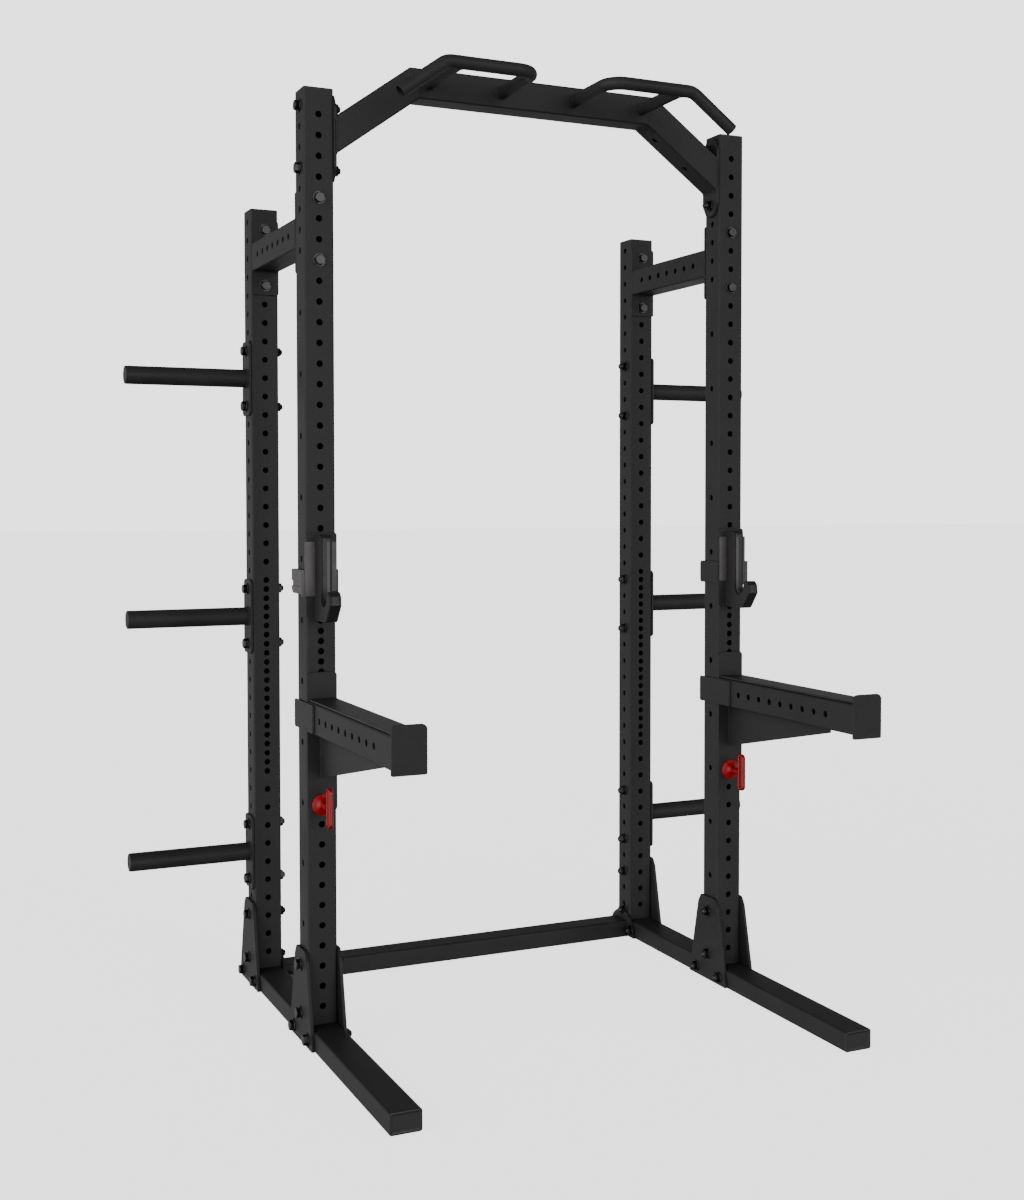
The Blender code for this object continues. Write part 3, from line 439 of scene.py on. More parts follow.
def inset(outline, distance):
    """Polygon moved inwards by a small distance."""
    points = [Vector(point) for point in outline]
    area = sum(a.x * b.y - b.x * a.y for a, b in zip(points, points[1:] + points[:1]))
    inward = 1 if area > 0 else -1
    moved = []
    for before, point, after in zip(points[-1:] + points[:-1], points, points[1:] + points[:1]):
        into = (point - before).normalized()
        out = (after - point).normalized()
        first = Vector((-into.y, into.x)) * inward
        second = Vector((-out.y, out.x)) * inward
        moved.append(point + (first + second) * distance / (1 + first.dot(second)))
    return moved


def place(axis, flat, along):
    """A point whose outline coordinates lie across the given axis."""
    if axis == "x":
        return Vector((along, flat[0], flat[1]))
    if axis == "y":
        return Vector((flat[0], along, flat[1]))
    return Vector((flat[0], flat[1], along))


# ---- mesh parts ----
def add_rings(bm, rings, closed=False, caps=True):
    """Skin through rings of equal length."""
    loops = [[bm.verts.new(point) for point in ring] for ring in rings]
    count = len(loops[0])
    pairs = list(zip(loops, loops[1:]))
    if closed:
        pairs.append((loops[-1], loops[0]))
    for low, high in pairs:
        for i in range(count):
            j = (i + 1) % count
            bm.faces.new((low[i], low[j], high[j], high[i]))
    if caps and not closed:
        bm.faces.new(loops[0])
        bm.faces.new(loops[-1])


def add_plate(bm, outline, axis, one_face, other_face, edge=EDGE, hole=None):
    """Flat plate with rounded edges; a hole needs an outline that starts at its lower left corner."""
    low, high = sorted((one_face, other_face))
    turns = (0, math.pi / 4, math.pi / 2)
    steps = [(edge * (1 - math.sin(a)), edge * (1 - math.cos(a))) for a in turns]
    levels = [(low + rise, shrink) for shrink, rise in steps]
    levels += [(high - rise, shrink) for shrink, rise in reversed(steps)]
    rings = [[place(axis, point, along) for point in inset(outline, shrink)] for along, shrink in levels]
    if hole:
        step = 360 / len(outline)
        rims = ((high, HOLE_EDGE), (high - HOLE_EDGE, 0.0), (low + HOLE_EDGE, 0.0), (low, HOLE_EDGE))
        for along, wider in rims:
            circle = arc(hole, HOLE + wider, 180 + step / 2, 540 - step / 2, len(outline) - 1)
            rings.append([place(axis, point, along) for point in circle])
    add_rings(bm, rings, closed=bool(hole))


def add_turned(bm, axis, centre, profile, sides=32):
    """Turned solid: profile is a list of (along, radius)."""
    rings = []
    for along, radius in profile:
        circle = arc(centre, radius, 0, 360 * (sides - 1) / sides, sides - 1)
        rings.append([place(axis, point, along) for point in circle])
    add_rings(bm, rings)


def hexagon_radius(degrees, across):
    """Distance from a hexagon's middle to its edge in some direction."""
    return across / 2 / math.cos(math.radians((degrees + 30) % 60 - 30))


def add_hexagon(bm, axis, centre, base, out, high, turn):
    """Bolt head or nut with the arcs that chamfering leaves on its faces."""
    rim = BOLT_ACROSS / 2 * 0.95
    levels = ([], [], [], [])
    for step in range(36):
        degrees = 10 * step
        radius = hexagon_radius(degrees, BOLT_ACROSS)
        drop = (radius - rim) * math.tan(math.radians(30))
        spots = ((radius, 0), (radius, high - drop), (rim, high), (rim * 0.86, high))
        for level, (distance, rise) in zip(levels, spots):
            angle = math.radians(degrees + turn)
            flat = (centre[0] + distance * math.cos(angle), centre[1] + distance * math.sin(angle))
            level.append(place(axis, flat, base + out * rise))
    add_rings(bm, levels)


def add_washer(bm, axis, centre, base, out):
    """Flat washer with chamfered rims."""
    chamfer = 0.0004
    profile = (
        (base, WASHER - chamfer),
        (base + out * chamfer, WASHER),
        (base + out * (WASHER_HIGH - chamfer), WASHER),
        (base + out * WASHER_HIGH, WASHER - chamfer),
    )
    add_turned(bm, axis, centre, profile, 40)


def add_thread(bm, axis, centre, base, out, length):
    """Threaded end that stands out of a nut."""
    pitch = 0.0015
    profile = [(base, PIN_RADIUS)]
    for turn in range(round(length / pitch)):
        start = base + out * turn * pitch
        profile.append((start + out * pitch * 0.25, PIN_RADIUS + 0.0006))
        profile.append((start + out * pitch * 0.75, PIN_RADIUS))
    end = base + out * length
    profile.append((end + out * 0.0008, PIN_RADIUS - 0.0009))
    add_turned(bm, axis, centre, profile, 24)


def add_bolt(bm, axis, centre, head_face, nut_face, turn=0):
    """Bolt with its washers and nut; the faces are what the washers bear on."""
    out = 1 if head_face > nut_face else -1
    head_base = head_face + out * PLAY
    add_washer(bm, axis, centre, head_base, out)
    add_hexagon(bm, axis, centre, head_base + out * WASHER_HIGH, out, HEAD_HIGH, turn)
    nut_base = nut_face - out * PLAY
    add_washer(bm, axis, centre, nut_base, -out)
    nut_top = nut_base - out * (WASHER_HIGH + NUT_HIGH)
    add_hexagon(bm, axis, centre, nut_base - out * WASHER_HIGH, -out, NUT_HIGH, turn * 2 + 11)
    add_thread(bm, axis, centre, nut_top, -out, THREAD_OUT)


def swept_rings(path, section_of, closed=False):
    """Rings across a path; section_of(index) gives the outline there."""
    rings = []
    count = len(path)
    side = None
    for index, point in enumerate(path):
        before = path[(index - 1) % count] if closed else path[max(index - 1, 0)]
        after = path[(index + 1) % count] if closed else path[min(index + 1, count - 1)]
        tangent = (after - before).normalized()
        if side is None:
            side = tangent.orthogonal()
        side = (side - tangent * side.dot(tangent)).normalized()
        other = tangent.cross(side)
        rings.append([point + side * u + other * v for u, v in section_of(index)])
    return rings


def resample(path, spacing, closed):
    """Points at even steps along a path."""
    points = list(path) + ([path[0]] if closed else [])
    lengths = [(b - a).length for a, b in zip(points, points[1:])]
    total = sum(lengths)
    count = max(2, round(total / spacing))
    made = []
    walked = 0.0
    segment = 0
    for step in range(count if closed else count + 1):
        target = total * step / count
        while segment < len(lengths) - 1 and walked + lengths[segment] < target:
            walked += lengths[segment]
            segment += 1
        share = (target - walked) / lengths[segment]
        made.append(points[segment].lerp(points[segment + 1], min(1.0, share)))
    return made


def add_bead(bm, path, closed=True, radius=BEAD):
    """Weld bead: a rippled round bead along a joint."""
    fine = resample(path, 0.0014, closed)
    circle = arc((0, 0), 1.0, 0, 315, 7)

    def outline(index):
        size = radius * (1.0 + 0.13 * math.sin(index * 2 * math.pi / 3))
        return [(u * size, v * size) for u, v in circle]

    add_rings(bm, swept_rings(fine, outline, closed), closed=closed)


def rounded_path(corners, radius, steps=10):
    """Straight runs joined by arcs of the given radius."""
    path = [corners[0]]
    for before, corner, after in zip(corners, corners[1:], corners[2:]):
        into = (corner - before).normalized()
        out = (after - corner).normalized()
        turn = into.angle(out)
        centre = corner + (out - into).normalized() * radius / math.cos(turn / 2)
        axis = into.cross(out).normalized()
        start = corner - into * radius * math.tan(turn / 2) - centre
        path += [centre + Matrix.Rotation(turn * step / steps, 3, axis) @ start for step in range(steps + 1)]
    path.append(corners[-1])
    return path


def add_round_tube(bm, path, radius, wall, sides=32):
    """Open round tube with rounded rims."""
    lip = wall * 0.3
    start_in = (path[1] - path[0]).normalized()
    end_in = (path[-2] - path[-1]).normalized()
    outer = [path[0] + start_in * lip] + path[1:-1] + [path[-1] + end_in * lip]
    circle = arc((0, 0), 1.0, 0, 360 * (sides - 1) / sides, sides - 1)

    def sized(size):
        return lambda index: [(u * size, v * size) for u, v in circle]

    skin = swept_rings(outer, sized(radius), False)
    rims = swept_rings(path, sized(radius - lip), False)
    bore = swept_rings(path, sized(radius - wall), False)
    add_rings(bm, [bore[0], rims[0], *skin, rims[-1], bore[-1], *reversed(bore[1:-1])], closed=True)


# ---- square tubes with holes ----
def straight_stations(axis, centre, breaks):
    """Places along a straight tube: origin, and the two directions across it."""
    first = place(axis, (1, 0), 0)
    second = place(axis, (0, 1), 0)
    return [(place(axis, centre, along), first, second) for along in breaks]


def add_hole(bm, outer, inner):
    """Round hole with a softened rim through one flat cell of a tube's wall."""
    middle_out = sum((vert.co for vert in outer), Vector()) / 4
    middle_in = sum((vert.co for vert in inner), Vector()) / 4
    across = (outer[1].co - outer[0].co).normalized()
    up = (outer[2].co - outer[1].co).normalized()
    inward = middle_in - middle_out
    depth = inward.length
    inward.normalize()
    circle = arc((0, 0), 1.0, -135, 225 - 360 / HOLE_SIDES, HOLE_SIDES - 1)
    soft = HOLE_EDGE
    levels = ((HOLE + soft, 0.0), (HOLE + soft * 0.3, soft * 0.3), (HOLE, soft), (HOLE, depth))
    rings = []
    for radius, drop in levels:
        centre = middle_out + inward * drop
        rings.append([bm.verts.new(centre + across * u * radius + up * v * radius) for u, v in circle])
    for low, high in zip(rings, rings[1:]):
        for i in range(HOLE_SIDES):
            j = (i + 1) % HOLE_SIDES
            bm.faces.new((low[i], low[j], high[j], high[i]))
    quarter = HOLE_SIDES // 4
    for cell, ring in ((outer, rings[0]), (inner, rings[-1])):
        for corner in range(4):
            span = [ring[(corner * quarter + i) % HOLE_SIDES] for i in range(quarter + 1)]
            bm.faces.new([cell[corner], cell[(corner + 1) % 4], *reversed(span)])


def add_tube(bm, stations, width, height, holes=(), steps=5):
    """Square tube through stations; holes are (interval, side), sides in the order +u, +v, -u, -v."""
    skins = []
    for inner in (0.0, WALL):
        outline = rounded_rectangle((0, 0), width - 2 * inner, height - 2 * inner, CORNER - inner, steps)
        skins.append([[bm.verts.new(o + u * p + v * q) for p, q in outline] for o, u, v in stations])
    count = len(skins[0][0])
    per_side = count // 4
    for row in range(len(stations) - 1):
        for k in range(count):
            j = (k + 1) % count
            cells = [(skin[row][k], skin[row][j], skin[row + 1][j], skin[row + 1][k]) for skin in skins]
            flat = (k + 1) % per_side == 0
            if flat and (row, (k + 1) // per_side % 4) in holes:
                add_hole(bm, *cells)
            else:
                for cell in cells:
                    bm.faces.new(cell)
    for end in (0, -1):
        for k in range(count):
            j = (k + 1) % count
            bm.faces.new((skins[0][end][k], skins[0][end][j], skins[1][end][j], skins[1][end][k]))


def cells_for(low, high, places):
    """Break points along a tube with one cell around each hole, and the holes' intervals."""
    half = GRID / 2
    breaks = {round(low, 6), round(high, 6)}
    for along in places:
        breaks.add(round(along - half, 6))
        breaks.add(round(along + half, 6))
    breaks = sorted(breaks)
    rows = {}
    for along in places:
        rows[round(along, 6)] = breaks.index(round(along - half, 6))
    return breaks, rows


def add_drilled_tube(bm, axis, centre, width, height, low, high, holes):
    """Straight square tube; holes maps a side number to the places of its holes."""
    places = sorted({round(along, 6) for spots in holes.values() for along in spots})
    breaks, rows = cells_for(low, high, places)
    marked = {(rows[round(along, 6)], side) for side, spots in holes.items() for along in spots}
    add_tube(bm, straight_stations(axis, centre, breaks), width, height, marked)


def tube_outline_path(axis, centre, width, height, along):
    """Closed path round a square tube, for a weld bead."""
    return [place(axis, point, along) for point in rounded_rectangle(centre, width, height, CORNER, 4)]


# ---- finishing a piece ----
def make_piece(name, bm, look, body, *nodes, sharp=38):
    """Mesh to object: normals, material, body and the CAD nodes it stands for, which it hides."""
    bmesh.ops.recalc_face_normals(bm, faces=bm.faces)
    mesh = bpy.data.meshes.new(name)
    bm.to_mesh(mesh)
    bm.free()
    mesh.shade_smooth()
    mesh.set_sharp_from_angle(angle=math.radians(sharp))
    piece = bpy.data.objects.new(name, mesh)
    bpy.context.scene.collection.objects.link(piece)
    weighted = piece.modifiers.new("weighted", "WEIGHTED_NORMAL")
    weighted.keep_sharp = True
    slot_name, material = LOOKS[look]
    mesh.materials.append(material)
    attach(piece, body)
    if nodes:
        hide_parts(*nodes)
    return piece


# ---- uprights ----
def grid_down(top, bottom, pitch):
    """Heights from top to bottom, both included."""
    return [top - pitch * i for i in range(round((top - bottom) / pitch) + 1)]


def pin_holes(top):
    """Front-face holes, fine in the bench zone and coarse elsewhere."""
    low, high = FINE_ZONE
    heights = grid_down(GRID_TOP - GRID, high, 2 * GRID)
    heights += grid_down(high - GRID, low, GRID)
    heights += grid_down(low - 2 * GRID, GRID_LOW, 2 * GRID)
    return [z for z in heights if z <= top]


def front_side_holes():
    """Side-face holes of the front uprights."""
    low, high = SIDE_SPARSE
    return grid_down(GRID_TOP, SIDE_ROW_LOW, 2 * GRID) + grid_down(high, low, 6 * GRID)


def rear_side_holes():
    """Side-face holes of the rear uprights."""
    return grid_down(REAR_GRID_TOP, GRID_LOW, 2 * GRID)


def make_upright(node, side_holes):
    """Drilled upright, open at the top under its cap."""
    low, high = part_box(node)
    centre = middle(node)
    front = pin_holes(high.z - GRID)
    bm = bmesh.new()
    holes = {0: side_holes, 2: side_holes, 1: front, 3: front}
    add_drilled_tube(bm, "z", (centre.x, centre.y), TUBE, TUBE, low.z, high.z, holes)
    make_piece(node + "_skin", bm, "powder_coat", "rack_frame", node)


def make_cap(node, axis, outward):
    """Push-in cap with a soft rim, a shallow dish and a plug."""
    low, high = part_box(node)
    centre = middle(node)
    size = high - low
    if axis == "z":
        flat, width, height, face = (centre.x, centre.y), size.x, size.y, high.z
    else:
        flat, width, height = (centre.x, centre.z), size.x, size.z
        face = high.y if outward > 0 else low.y
    rings = []
    for depth, shrink in CAP_LEVELS:
        radius = max(CORNER - shrink, 0.0012)
        outline = rounded_rectangle(flat, width - 2 * shrink, height - 2 * shrink, radius, 5)
        rings.append([place(axis, point, face - outward * depth) for point in outline])
    bm = bmesh.new()
    add_rings(bm, rings)
    make_piece(node + "_moulding", bm, "cap", "rack_frame", node)


def make_uprights():
    for side, _ in SIDES:
        make_upright("upright_front_" + side, front_side_holes())
        make_upright("upright_rear_" + side, rear_side_holes())
        make_cap("upright_cap_front_" + side, "z", 1)
        make_cap("upright_cap_rear_" + side, "z", 1)
        make_cap("rail_cap_front_" + side, "y", -1)
        make_cap("rail_cap_rear_" + side, "y", 1)


# ---- base ----
def make_rail(node):
    """Floor tube."""
    low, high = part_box(node)
    centre = middle(node)
    bm = bmesh.new()
    stations = straight_stations("y", (centre.x, centre.z), (low.y, high.y))
    add_tube(bm, stations, TUBE, high.z - low.z)
    make_piece(node + "_skin", bm, "powder_coat", "rack_frame", node)


def gusset_bolts(y):
    """Bolts of one gusset: (y, z)."""
    reach, height = GUSSET_FOOT_BOLT
    return [(y, z) for z in GUSSET_BOLTS_Z] + [(y - reach, height), (y + reach, height)]


def make_gusset(node, y):
    """Tapered plate with rounded corners."""
    low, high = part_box(node)
    foot = (high.y - low.y) / 2
    shoulder, below = GUSSET_SHOULDER
    half = ((foot, low.z), (shoulder, high.z - below), (GUSSET_TOP, high.z))
    corners = [(y + dy, z) for dy, z in half] + [(y - dy, z) for dy, z in reversed(half)]
    outline = round_corners(corners, (0.004, 0.010, 0.010, 0.010, 0.010, 0.004))
    bm = bmesh.new()
    add_plate(bm, outline, "x", low.x, high.x, PLATE_EDGE)
    make_piece(node + "_plate", bm, "powder_coat", "rack_frame", node)


def make_gusset_bolts(side, sign):
    """Bolts through the gussets, the upright or rail, and what is on the inside."""
    outer = sign * (UPRIGHT_X + HALF + PLAY + GUSSET)
    inner_face = sign * (UPRIGHT_X - HALF)
    inner_plate = inner_face - sign * (PLAY + GUSSET)
    front = bmesh.new()
    for index, spot in enumerate(gusset_bolts(FRONT_Y)):
        add_bolt(front, "x", spot, outer, inner_plate, 17 * index + 5)
    make_piece("gusset_bolts_front_" + side, front, "bolt", "rack_frame")
    rear = bmesh.new()
    for index, spot in enumerate(gusset_bolts(REAR_Y)):
        nut_face = inner_plate if spot[1] < RAIL_HEIGHT else inner_face
        add_bolt(rear, "x", spot, outer, nut_face, 23 * index + 8)
    make_piece("gusset_bolts_rear_" + side, rear, "bolt", "rack_frame")


def make_crossmember():
    """Floor tube with a round-topped bolting plate and a weld at each end."""
    node = "rear_crossmember"
    low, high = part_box(node)
    bm = bmesh.new()
    centre = (REAR_Y, RAIL_HEIGHT / 2)
    stations = straight_stations("x", centre, (low.x + CROSS_PLATE / 2, high.x - CROSS_PLATE / 2))
    add_tube(bm, stations, TUBE, RAIL_HEIGHT)
    radius = high.z
    for _, sign in SIDES:
        face = sign * high.x
        inside = face - sign * CROSS_PLATE
        outline = arc((REAR_Y, 0), radius, 2, 178, 28)
        add_plate(bm, outline, "x", face, inside, PLATE_EDGE)
        bead = tube_outline_path("x", centre, TUBE, RAIL_HEIGHT, inside)
        visible = [point for point in bead if point.z > BEAD]
        lowest = [point.y + (1 if point.z < RAIL_HEIGHT / 2 else 0) for point in visible]
        start = lowest.index(max(lowest))
        add_bead(bm, visible[start:] + visible[:start], closed=False)
    make_piece(node + "_skin", bm, "powder_coat", "rack_frame", node)


def make_base():
    for side, sign in SIDES:
        make_rail("base_rail_" + side)
        make_gusset("gusset_outer_front_" + side, FRONT_Y)
        make_gusset("gusset_inner_front_" + side, FRONT_Y)
        make_gusset("gusset_outer_rear_" + side, REAR_Y)
        make_gusset_bolts(side, sign)
    make_crossmember()


# ---- side members ----
def make_side_member(node):
    """Drilled tube between two long bolting plates."""
    low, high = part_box(node)
    centre = middle(node)
    flat = (centre.x, centre.z)
    bm = bmesh.new()
    first = centre.y - GRID * (SIDE_MEMBER_HOLES - 1)
    spots = [first + 2 * GRID * i for i in range(SIDE_MEMBER_HOLES)]
    inner = (low.y + SIDE_PLATE / 2, high.y - SIDE_PLATE / 2)
    add_drilled_tube(bm, "y", flat, TUBE - 0.001, TUBE, inner[0], inner[1], {0: spots, 2: spots})
    outline = rounded_rectangle(flat, TUBE, high.z - low.z, CORNER, 4)
    for end, inside in ((low.y, low.y + SIDE_PLATE), (high.y, high.y - SIDE_PLATE)):
        add_plate(bm, outline, "y", end, inside, PLATE_EDGE)
        add_bead(bm, tube_outline_path("y", flat, TUBE - 0.003, TUBE, inside))
    make_piece(node + "_skin", bm, "powder_coat", "rack_frame", node)


def make_cad_bolt(node, axis, turn):
    """Detailed bolt in the place of a CAD bolt; its head points outwards or to the front."""
    low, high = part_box(node)
    centre = middle(node)
    head = PLAY + WASHER_HIGH + HEAD_HIGH
    nut = PLAY + WASHER_HIGH + NUT_HIGH
    bm = bmesh.new()
    if axis == "x":
        outward = centre.x > 0
        head_face = high.x - head if outward else low.x + head
        nut_face = low.x + nut if outward else high.x - nut
        add_bolt(bm, "x", (centre.y, centre.z), head_face, nut_face, turn)
    else:
        add_bolt(bm, "y", (centre.x, centre.z), low.y + head, high.y - nut, turn)
    make_piece(node + "_set", bm, "bolt", "rack_frame", node)


def make_side_members():
    for side, _ in SIDES:
        make_side_member("side_member_" + side)
        for index, level in enumerate(("lower", "upper")):
            make_cad_bolt("side_bolt_front_" + level + "_" + side, "y", 14 + 31 * index)
            make_cad_bolt("side_bolt_rear_" + level + "_" + side, "y", 40 + 19 * index)
            make_cad_bolt("beam_bolt_" + level + "_" + side, "x", 9 + 27 * index)


# ---- pull-up beam and grips ----
def beam_stations():
    """Stations from the left end plate over both bends to the right one, and the drilled intervals."""
    end_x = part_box("pull_up_beam")[1].x - BEAM_PLATE / 2
    slope = LEG_SLOPE
    level = Vector((0, 1, 0))
    up = Vector((0, 0, 1))
    right = []
    bend = Vector((BEAM_BEND_X, FRONT_Y, BEAM_Z))
    mitre = Vector((math.sin(slope / 2), 0, math.cos(slope / 2))) / math.cos(slope / 2)
    right.append((bend, level, mitre))
    along = Vector((math.cos(slope), 0, -math.sin(slope)))
    across = Vector((math.sin(slope), 0, math.cos(slope)))
    from_under = HALF * math.tan(slope / 2)
    for distance in LEG_HOLES:
        for edge in (-GRID / 2, GRID / 2):
            right.append((bend + along * (distance - from_under + edge), level, across))
    end = bend + along * (end_x - BEAM_BEND_X) / math.cos(slope)
    right.append((end, level, up / math.cos(slope)))
    left = [(Vector((-o.x, o.y, o.z)), u, Vector((-v.x, v.y, v.z))) for o, u, v in reversed(right)]
    stations = left + right
    last = len(stations) - 2
    holes = {(1, 3), (3, 3), (last - 1, 3), (last - 3, 3)}
    return stations, holes


def end_plate_outline():
    """Bolting plate of the beam, seen from the side."""
    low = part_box("pull_up_beam")[0].z
    top = BEAM_PLATE_Z * 2 - low
    clip_y = 0.020
    clip_z = 0.032
    half = [(HALF, low + clip_z), (HALF, top - clip_z), (HALF - clip_y, top)]
    half += [(-HALF + clip_y, top), (-HALF, top - clip_z), (-HALF, low + clip_z), (-HALF + clip_y, low)]
    return round_corners([(FRONT_Y + dy, z) for dy, z in half + [(HALF - clip_y, low)]], 0.009)


def make_beam():
    """Bent square tube with mitre welds and an end plate on each leg."""
    node = "pull_up_beam"
    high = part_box(node)[1]
    bm = bmesh.new()
    stations, holes = beam_stations()
    add_tube(bm, stations, TUBE, TUBE, holes)
    section = rounded_rectangle((0, 0), TUBE, TUBE, CORNER, 4)
    mitre = rounded_rectangle((0, 0), TUBE, TUBE - 2 * MITRE_BEAD * 1.15, CORNER, 4)
    half = len(stations) // 2
    for origin, u, v in (stations[half - 1], stations[half]):
        add_bead(bm, [origin + u * p + v * q for p, q in mitre], radius=MITRE_BEAD)
    for sign, (origin, u, v) in ((-1, stations[0]), (1, stations[-1])):
        face = sign * high.x
        inside = face - sign * BEAM_PLATE
        add_plate(bm, end_plate_outline(), "x", face, inside, PLATE_EDGE)
        shift = Vector((inside - origin.x, 0, abs(inside - origin.x) * math.tan(LEG_SLOPE)))
        add_bead(bm, [origin + shift + u * p + v * q for p, q in section])
    make_piece(node + "_skin", bm, "powder_coat", "rack_frame", node)


def make_grip(side, sign):
    """Bent round tube with its strut, welded to the beam."""
    node = "grip_bar_" + side
    low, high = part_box(node)
    plane = low.y + GRIP_RADIUS
    inner_x = sign * (min(abs(low.x), abs(high.x)) + GRIP_RADIUS)
    root = FACE_Y - PLAY
    bend = Vector((sign * BEAM_BEND_X, plane, BEAM_Z))
    drop = Vector((sign * math.cos(LEG_SLOPE), 0, -math.sin(LEG_SLOPE)))
    corners = [Vector((inner_x, y, BEAM_Z)) for y in (root, plane)] + [bend, bend + drop * GRIP_TAIL]
    bm = bmesh.new()
    add_round_tube(bm, rounded_path(corners, GRIP_CURVE), GRIP_RADIUS, WALL)
    strut_x = sign * GRIP_STRUT_X
    strut = [Vector((strut_x, plane + GRIP_RADIUS * 0.6, BEAM_Z)), Vector((strut_x, root, BEAM_Z))]
    add_round_tube(bm, strut, GRIP_RADIUS * 0.97, WALL)
    for x in (inner_x, strut_x):
        ring = arc((x, BEAM_Z), GRIP_RADIUS, 0, 345, 23)
        add_bead(bm, [place("y", point, root - BEAD * 0.4) for point in ring], radius=THIN_BEAD)
    saddle = []
    for u, v in arc((0, 0), GRIP_RADIUS, 0, 345, 23):
        depth = math.sqrt(max(GRIP_RADIUS ** 2 - v ** 2, 0.0))
        saddle.append(Vector((strut_x + u, plane + depth * 0.98 + 0.0004, BEAM_Z + v)))
    add_bead(bm, saddle, radius=FINE_BEAD)
    make_piece(node + "_tube", bm, "powder_coat", "rack_frame", node)


def make_pull_up_bar():
    make_beam()
    for side, sign in SIDES:
        make_grip(side, sign)


# ---- storage pegs ----
def make_storage_peg(node, sign):
    """Round peg with a closed end, welded to its bolting plate."""
    low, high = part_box(node)
    centre = middle(node)
    flat = (centre.y, centre.z)
    near = low.x if sign > 0 else high.x
    tip = high.x if sign > 0 else low.x
    far = near + sign * PEG_PLATE
    bm = bmesh.new()
    outline = rounded_rectangle(flat, high.y - low.y, high.z - low.z, 0.012, 6)
    add_plate(bm, outline, "x", near, far, PLATE_EDGE)
    profile = [(far - sign * 0.002, PEG_RADIUS)]
    profile += [(tip - sign * back, PEG_RADIUS - thinner) for back, thinner in PEG_END]
    add_turned(bm, "x", flat, profile, 48)
    ring = arc(flat, PEG_RADIUS + 0.0006, 0, 354, 59)
    add_bead(bm, [place("x", point, far + sign * 0.0004) for point in ring])
    make_piece(node + "_tube", bm, "powder_coat", "rack_frame", node)
    return flat, far


def make_storage_pegs():
    for side, sign in SIDES:
        bolts = bmesh.new()
        inner_face = sign * (UPRIGHT_X - HALF)
        for index, level in enumerate(("lower", "middle", "upper")):
            (y, z), far = make_storage_peg("storage_peg_" + level + "_" + side, sign)
            for offset in (-BOLT_OFFSET, BOLT_OFFSET):
                add_bolt(bolts, "x", (y, z + offset), far, inner_face, 13 * index + 200 * offset)
        make_piece("peg_bolts_" + side, bolts, "bolt", "rack_frame")


# ---- J-cups ----
def at_front(outline):
    """Turn (distance in front of the upright, height) into (y, z)."""
    return [(FACE_Y - f, z) for f, z in outline]


def hook_outline(back, proud):
    """J-shaped side view; proud raises the saddle, the neck and the inside of the lip."""
    low, top = HOOK_Z
    outline = [(back, low), (LIP_FRONT - 0.041, low), (LIP_FRONT - 0.034, low + 0.0015)]
    outline += [(LIP_FRONT - 0.028, low + 0.007), (LIP_FRONT, low + 0.043)]
    outline += [(LIP_FRONT - 0.003, LIP_TOP - 0.011), (LIP_FRONT - 0.0045, LIP_TOP - 0.0085)]
    outline += [(LIP_FRONT - 0.014, LIP_TOP), (SADDLE[0] + SADDLE_RADIUS + 0.002 - proud, LIP_TOP)]
    outline += arc(SADDLE, SADDLE_RADIUS - proud, 0, -180, 20)
    outline += [(HOOK_NECK + proud, top - 0.014)]
    outline += arc((HOOK_NECK + proud - 0.013, top - 0.013), 0.013, 12, 78, 6)
    outline += [(back, top)]
    return at_front(outline)


def inlay_outline():
    """Wear strip along the hook's neck, saddle and lip."""
    saddle_f = SADDLE[0]
    inner = SADDLE_RADIUS - LINER_PROUD
    outer = SADDLE_RADIUS + 0.003
    top = GUARD_Z[1]
    bottom = LIP_TOP - 0.002
    outline = [(saddle_f + inner, bottom)] + arc(SADDLE, inner, 0, -180, 20) + [(saddle_f - inner, top)]
    outline += [(saddle_f - outer, top)] + arc(SADDLE, outer, -180, 0, 20) + [(saddle_f + outer, bottom)]
    return at_front(outline)


def add_cheek(bm, x, side_sign, front, z_low, z_high, clip):
    """Side cheek of a hook-on bracket."""
    near = x + side_sign * (HALF + PLAY)
    far = near + side_sign * CHEEK
    rear = FRONT_Y + CHEEK_REAR
    outline = round_corners(rectangle(front, rear, z_low, z_high), (0, clip, clip, 0))
    add_plate(bm, outline, "x", near, far, SHEET_EDGE)


def add_peg(bm, x, z):
    """Peg that enters a front hole, with a bullet tip and a weld ring."""
    back = FACE_Y - PLAY
    tip = FACE_Y + HOOK_PEG
    profile = [(back - FACE_PLATE / 2, PIN_RADIUS), (tip - 0.004, PIN_RADIUS)]
    profile += [(tip - 0.0015, PIN_RADIUS - 0.0012), (tip, PIN_RADIUS - 0.0035)]
    add_turned(bm, "y", (x, z), profile, 24)


def make_cup_body(side, sign):
    """Steel part: plate, cheeks, two hook skins, their welds and the pegs."""
    x = sign * UPRIGHT_X
    back = FACE_Y - PLAY
    front = back - FACE_PLATE
    bm = bmesh.new()
    wide = CUP_PLATE_WIDTH / 2
    corners = rectangle(x - wide, x + wide, *CUP_Z)
    add_plate(bm, round_corners(corners, (0.015, 0.015, 0.007, 0.007), 5), "y", front, back, FACE_EDGE)
    skin = hook_outline(PLAY + FACE_PLATE / 2, 0.0)
    for _, side_sign in SIDES:
        add_cheek(bm, x, side_sign, front + 0.0006, *CUP_CHEEK_Z, 0.008)
        outer = x + side_sign * HOOK_HALF
        inner = outer - side_sign * HOOK_SKIN
        add_plate(bm, skin, "x", outer, inner, HOOK_EDGE)
        foot = [Vector((outer, front - 0.0003, z)) for z in (HOOK_Z[0] + 0.002, HOOK_Z[1] - 0.002)]
        add_bead(bm, foot, closed=False, radius=FINE_BEAD)
    for z in CUP_PEGS:
        add_peg(bm, x, z)
    make_piece("j_cup_body_%s_steel" % side, bm, "powder_coat", "j_cup_" + side, "j_cup_body_" + side)


